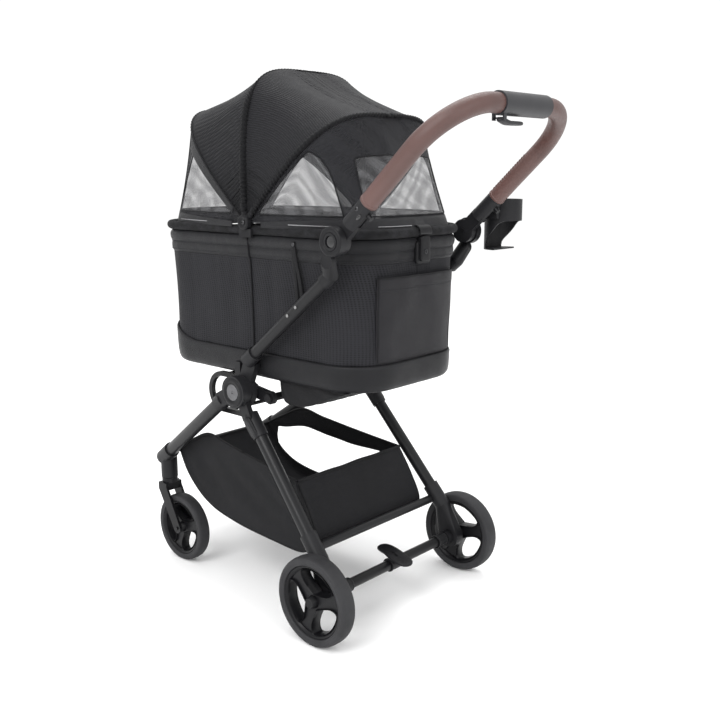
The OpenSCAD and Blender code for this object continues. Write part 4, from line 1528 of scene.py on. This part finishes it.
def squeeze_lever():
    """Paddle under the console with round ends and edges."""
    lo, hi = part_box("squeeze_lever")
    middle = (lo + hi) / 2
    rows = []
    sections = 22
    for i in range(sections + 1):
        share = i / sections
        x = lerp(lo.x, hi.x, share)
        near_pin = smooth((share - 0.55) / 0.45)
        end = math.sqrt(max(0.0, 1 - (2 * share - 1) ** 8))
        half_y = (hi.y - lo.y) / 2 * lerp(1.0, 0.8, near_pin) * max(0.05, end)
        top = lerp(lo.z + 0.0075, hi.z, near_pin)
        bottom = lerp(lo.z, hi.z - 0.009, near_pin)
        mid_z = (top + bottom) / 2
        half_z = (top - bottom) / 2 * max(0.05, end)
        row = []
        for k in range(28):
            a = math.tau * k / 28
            row.append(Vector((x, middle.y + half_y * math.copysign(abs(math.cos(a)) ** 0.5, math.cos(a)),
                               mid_z + half_z * math.copysign(abs(math.sin(a)) ** 0.6, math.sin(a)))))
        rows.append(row)
    paddle = grid("squeeze_lever_paddle", rows, M["console_plastic"], closed=True)
    put_on(cap_ends(paddle, 28), "squeeze_lever")
    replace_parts(paddle, "squeeze_lever")


brake_pedal()
squeeze_lever()


# ---------------------------------------------------------------- hard details

def plate_between(name, outline, x0, x1, mat, soft=1.2):
    """A side plate with rounded rims: an outline of (y, z) mm between two x planes."""
    cy = sum(p[0] for p in outline) / len(outline)
    cz = sum(p[1] for p in outline) / len(outline)
    rows = []
    for x, shrink in ((x0, 30), (x0, soft), (x0 + soft * math.copysign(1, x1 - x0), 0),
                      (x1 - soft * math.copysign(1, x1 - x0), 0), (x1, soft), (x1, 30)):
        row = []
        for y, z in outline:
            reach = max(0.5, math.hypot(y - cy, z - cz))
            keep = max(0.02, 1 - shrink / reach)
            row.append(at(x, cy + (y - cy) * keep, cz + (z - cz) * keep))
        rows.append(row)
    return grid(name, rows, mat, closed=True)


def slot_outline(cy, cz, length, width, turn):
    """A rounded slot in the (y, z) plane."""
    out = []
    for end in (1, -1):
        for k in range(9):
            a = math.radians(-90 + 22.5 * k) + (0 if end > 0 else math.pi)
            out.append((end * (length - width) / 2 + width / 2 * math.cos(a), width / 2 * math.sin(a)))
    c, s = math.cos(turn), math.sin(turn)
    return [(cy + y * c - z * s, cz + y * s + z * c) for y, z in out]


HUB_Y = 257
HUB_Z = 450
LEG_TOP = (214, 426.8)      # where a front leg's tube enters its knuckle, as (y, z)
LEG_FOOT = (-50, 242)
PIVOT_Y = 536
PIVOT_Z = 766
LATCH = (296, 380)          # middle of the latch housing on a rear leg, as (y, z)


def hub_details():
    """Turned caps with a raised ring on the folding hubs, and screws in the sockets."""
    raised = [(-1, 29.5), (0.6, 29.5), (1.6, 27.5), (2.0, 24), (1.4, 20.5), (0.2, 18.4), (-0.4, 18)]
    turned = [(0.55, 17)]
    turned += [(0.9 + 0.12 * (k % 2), 16 - k * 1.05) for k in range(12)]
    turned += [(1.2, 3.2), (0.5, 2.6), (0.5, 0)]
    leg = Vector((0, LEG_FOOT[0] - LEG_TOP[0], LEG_FOOT[1] - LEG_TOP[1])).normalized()
    for side, s in SIDES:
        hub = at(s * 209, HUB_Y, HUB_Z)
        out = Vector((s, 0, 0))
        ring = lathe(f"hub_ring_{side}", raised, hub, out, M["frame_plastic"], 72)
        put_on(ring, "chassis")
        disc = lathe(f"hub_cap_disc_{side}", turned, hub, out, LOOKS["brushed"], 72)
        put_on(disc, "upper_frame")
        spot = at(s * 209.6, LEG_TOP[0] + leg.y * 6, LEG_TOP[1] + leg.z * 6)
        put_on(screw(f"front_leg_screw_{side}", spot, out, 3.6), "chassis")


def latch_covers():
    """Moulded latch housings with a finger recess on the outside of the rear legs."""
    turn = math.atan2(153.4 - 399.5, 488 - 280)
    y, z = LATCH
    housing = slot_outline(y, z, 50, 21, turn)
    finger = slot_outline(y, z, 36, 9, turn)
    for side, s in SIDES:
        x = s * (181 + 13 + (y - 280) * 0.077)
        cover = plate_between(f"rear_leg_latch_{side}", housing, x - s * 4, x + s * 3.5, M["frame_plastic"], 2.0)
        put_on(cover, "rear_legs")
        recess = plate_between(f"rear_leg_latch_slot_{side}", finger, x + s * 2, x + s * 4.4,
                               M["bow_plastic"], 1.2)
        put_on(recess, "rear_legs")


def pivot_details():
    """A raised ring and a glossy finger inlay on each handle pivot."""
    raised = [(-1, 26.2), (0.7, 26), (1.6, 23.5), (1.4, 19), (0.2, 16.6), (-1, 16.4)]
    dome = [(-0.6, 11.6), (-0.2, 11), (0.5, 6), (0.7, 0)]
    for side, s in SIDES:
        out = Vector((s, 0, 0))
        ring = lathe(f"pivot_ring_{side}", raised, at(s * 212, PIVOT_Y, PIVOT_Z), out, M["frame_plastic"], 72)
        put_on(ring, "upper_frame")
        inlay = lathe(f"pivot_inlay_{side}", dome, at(s * 211.4, PIVOT_Y, PIVOT_Z), out, LOOKS["gloss"], 48)
        put_on(inlay, f"pivot_button_{side}")


def arm_details():
    """Stitched seams under the grips, end rings, arm screws and slots."""
    slope = math.radians(43)
    along_y, along_z = math.cos(slope), math.sin(slope)

    def beside(distance, lift):
        """(y, z) at a distance along the arm from the pivot, lifted square to it."""
        return (PIVOT_Y + distance * along_y - lift * along_z, PIVOT_Z + distance * along_z + lift * along_y)

    way = Vector((0, along_y, along_z))
    cuff = [(-3, 16.6), (-3, 17.3), (-1.5, 17.8), (1.5, 17.8), (3, 17.3), (3, 16.6)]
    opening_line = slot_outline(*beside(76, -10), 12, 6, slope)
    start, stop = 112, 215
    for side, s in SIDES:
        spot = at(s * 209.2, *beside(84, 2))
        put_on(screw(f"arm_screw_{side}", spot, Vector((s, 0, 0)), 4.0), "handle")
        hole = plate_between(f"arm_slot_{side}", opening_line, s * 206.5, s * 208.2, LOOKS["gloss"], 0.5)
        put_on(hole, "handle")
        ring = lathe(f"grip_end_ring_{side}", cuff, at(s * 193, *beside(103, 0)), way, M["grip_leather"], 48)
        put_on(ring, "handle")
        for name, x, lift in (("inner", 180.6, 12.0), ("outer", 184.4, 14.9)):
            path = [at(s * x, *beside(lerp(start, stop, i / 60), lift)) for i in range(61)]
            seam = stitches(f"grip_stitches_{name}_{side}", path, LOOKS["thread_brown"], 4.5, 2.0, 0.55)
            put_on(seam, "handle")


hub_details()
latch_covers()
pivot_details()
arm_details()


# ---------------------------------------------------------------- stage, camera and light

def stage():
    floor = bpy.data.objects.new("floor", bpy.data.meshes.new("floor"))
    size = 30.0
    corners = [(-size, -size, 0), (size, -size, 0), (size, size, 0), (-size, size, 0)]
    floor.data.from_pydata(corners, [], [(0, 1, 2, 3)])
    bpy.context.collection.objects.link(floor)
    n = Nodes("studio_floor", (0.97, 0.97, 0.97), 0.9, specular=0.0)
    n.tint(n.noise(n.place(), 3, 2), 0.995, 1.0)
    floor.data.materials.append(n.mat)


def camera():
    azimuth = math.radians(131.89)
    elevation = math.radians(11.70)
    roll = math.radians(-0.11)
    back = Vector((math.sin(azimuth) * math.cos(elevation), -math.cos(azimuth) * math.cos(elevation),
                   math.sin(elevation)))
    right = Vector((math.cos(azimuth), math.sin(azimuth), 0))
    up = back.cross(right)
    turned = right * math.cos(roll) + up * math.sin(roll)
    upward = up * math.cos(roll) - right * math.sin(roll)
    lens = bpy.data.cameras.new("camera")
    lens.sensor_width = 36
    lens.lens = 45.87
    lens.clip_end = 100
    cam = bpy.data.objects.new("camera", lens)
    spot = at(1377.3, 1651.1, 889.2)
    cam.matrix_world = Matrix(((turned.x, upward.x, back.x, spot.x), (turned.y, upward.y, back.y, spot.y),
                               (turned.z, upward.z, back.z, spot.z), (0, 0, 0, 1)))
    bpy.context.collection.objects.link(cam)
    bpy.context.scene.camera = cam


def lamp(name, spot, aim, width, height, watts):
    data = bpy.data.lights.new(name, "AREA")
    data.shape = "RECTANGLE"
    data.size = width
    data.size_y = height
    data.energy = watts
    obj = bpy.data.objects.new(name, data)
    obj.location = spot
    obj.rotation_mode = "QUATERNION"
    obj.rotation_quaternion = (Vector(aim) - Vector(spot)).to_track_quat("-Z", "Y")
    bpy.context.collection.objects.link(obj)


def light():
    world = bpy.data.worlds.new("studio")
    bpy.context.scene.world = world
    world.use_nodes = True
    world.node_tree.nodes["Background"].inputs["Color"].default_value = (1, 1, 1, 1)
    world.node_tree.nodes["Background"].inputs["Strength"].default_value = 1.06
    target = (0, 0, 0.6)
    lamp("key", (3.2, 0.6, 3.0), target, 2.2, 2.2, 95)
    lamp("rear_fill", (0.6, 4.2, 2.2), target, 3.0, 2.0, 45)
    lamp("top", (-0.8, -0.6, 3.6), target, 2.6, 2.6, 60)
    bpy.context.scene.view_settings.view_transform = "Standard"


stage()
camera()
light()
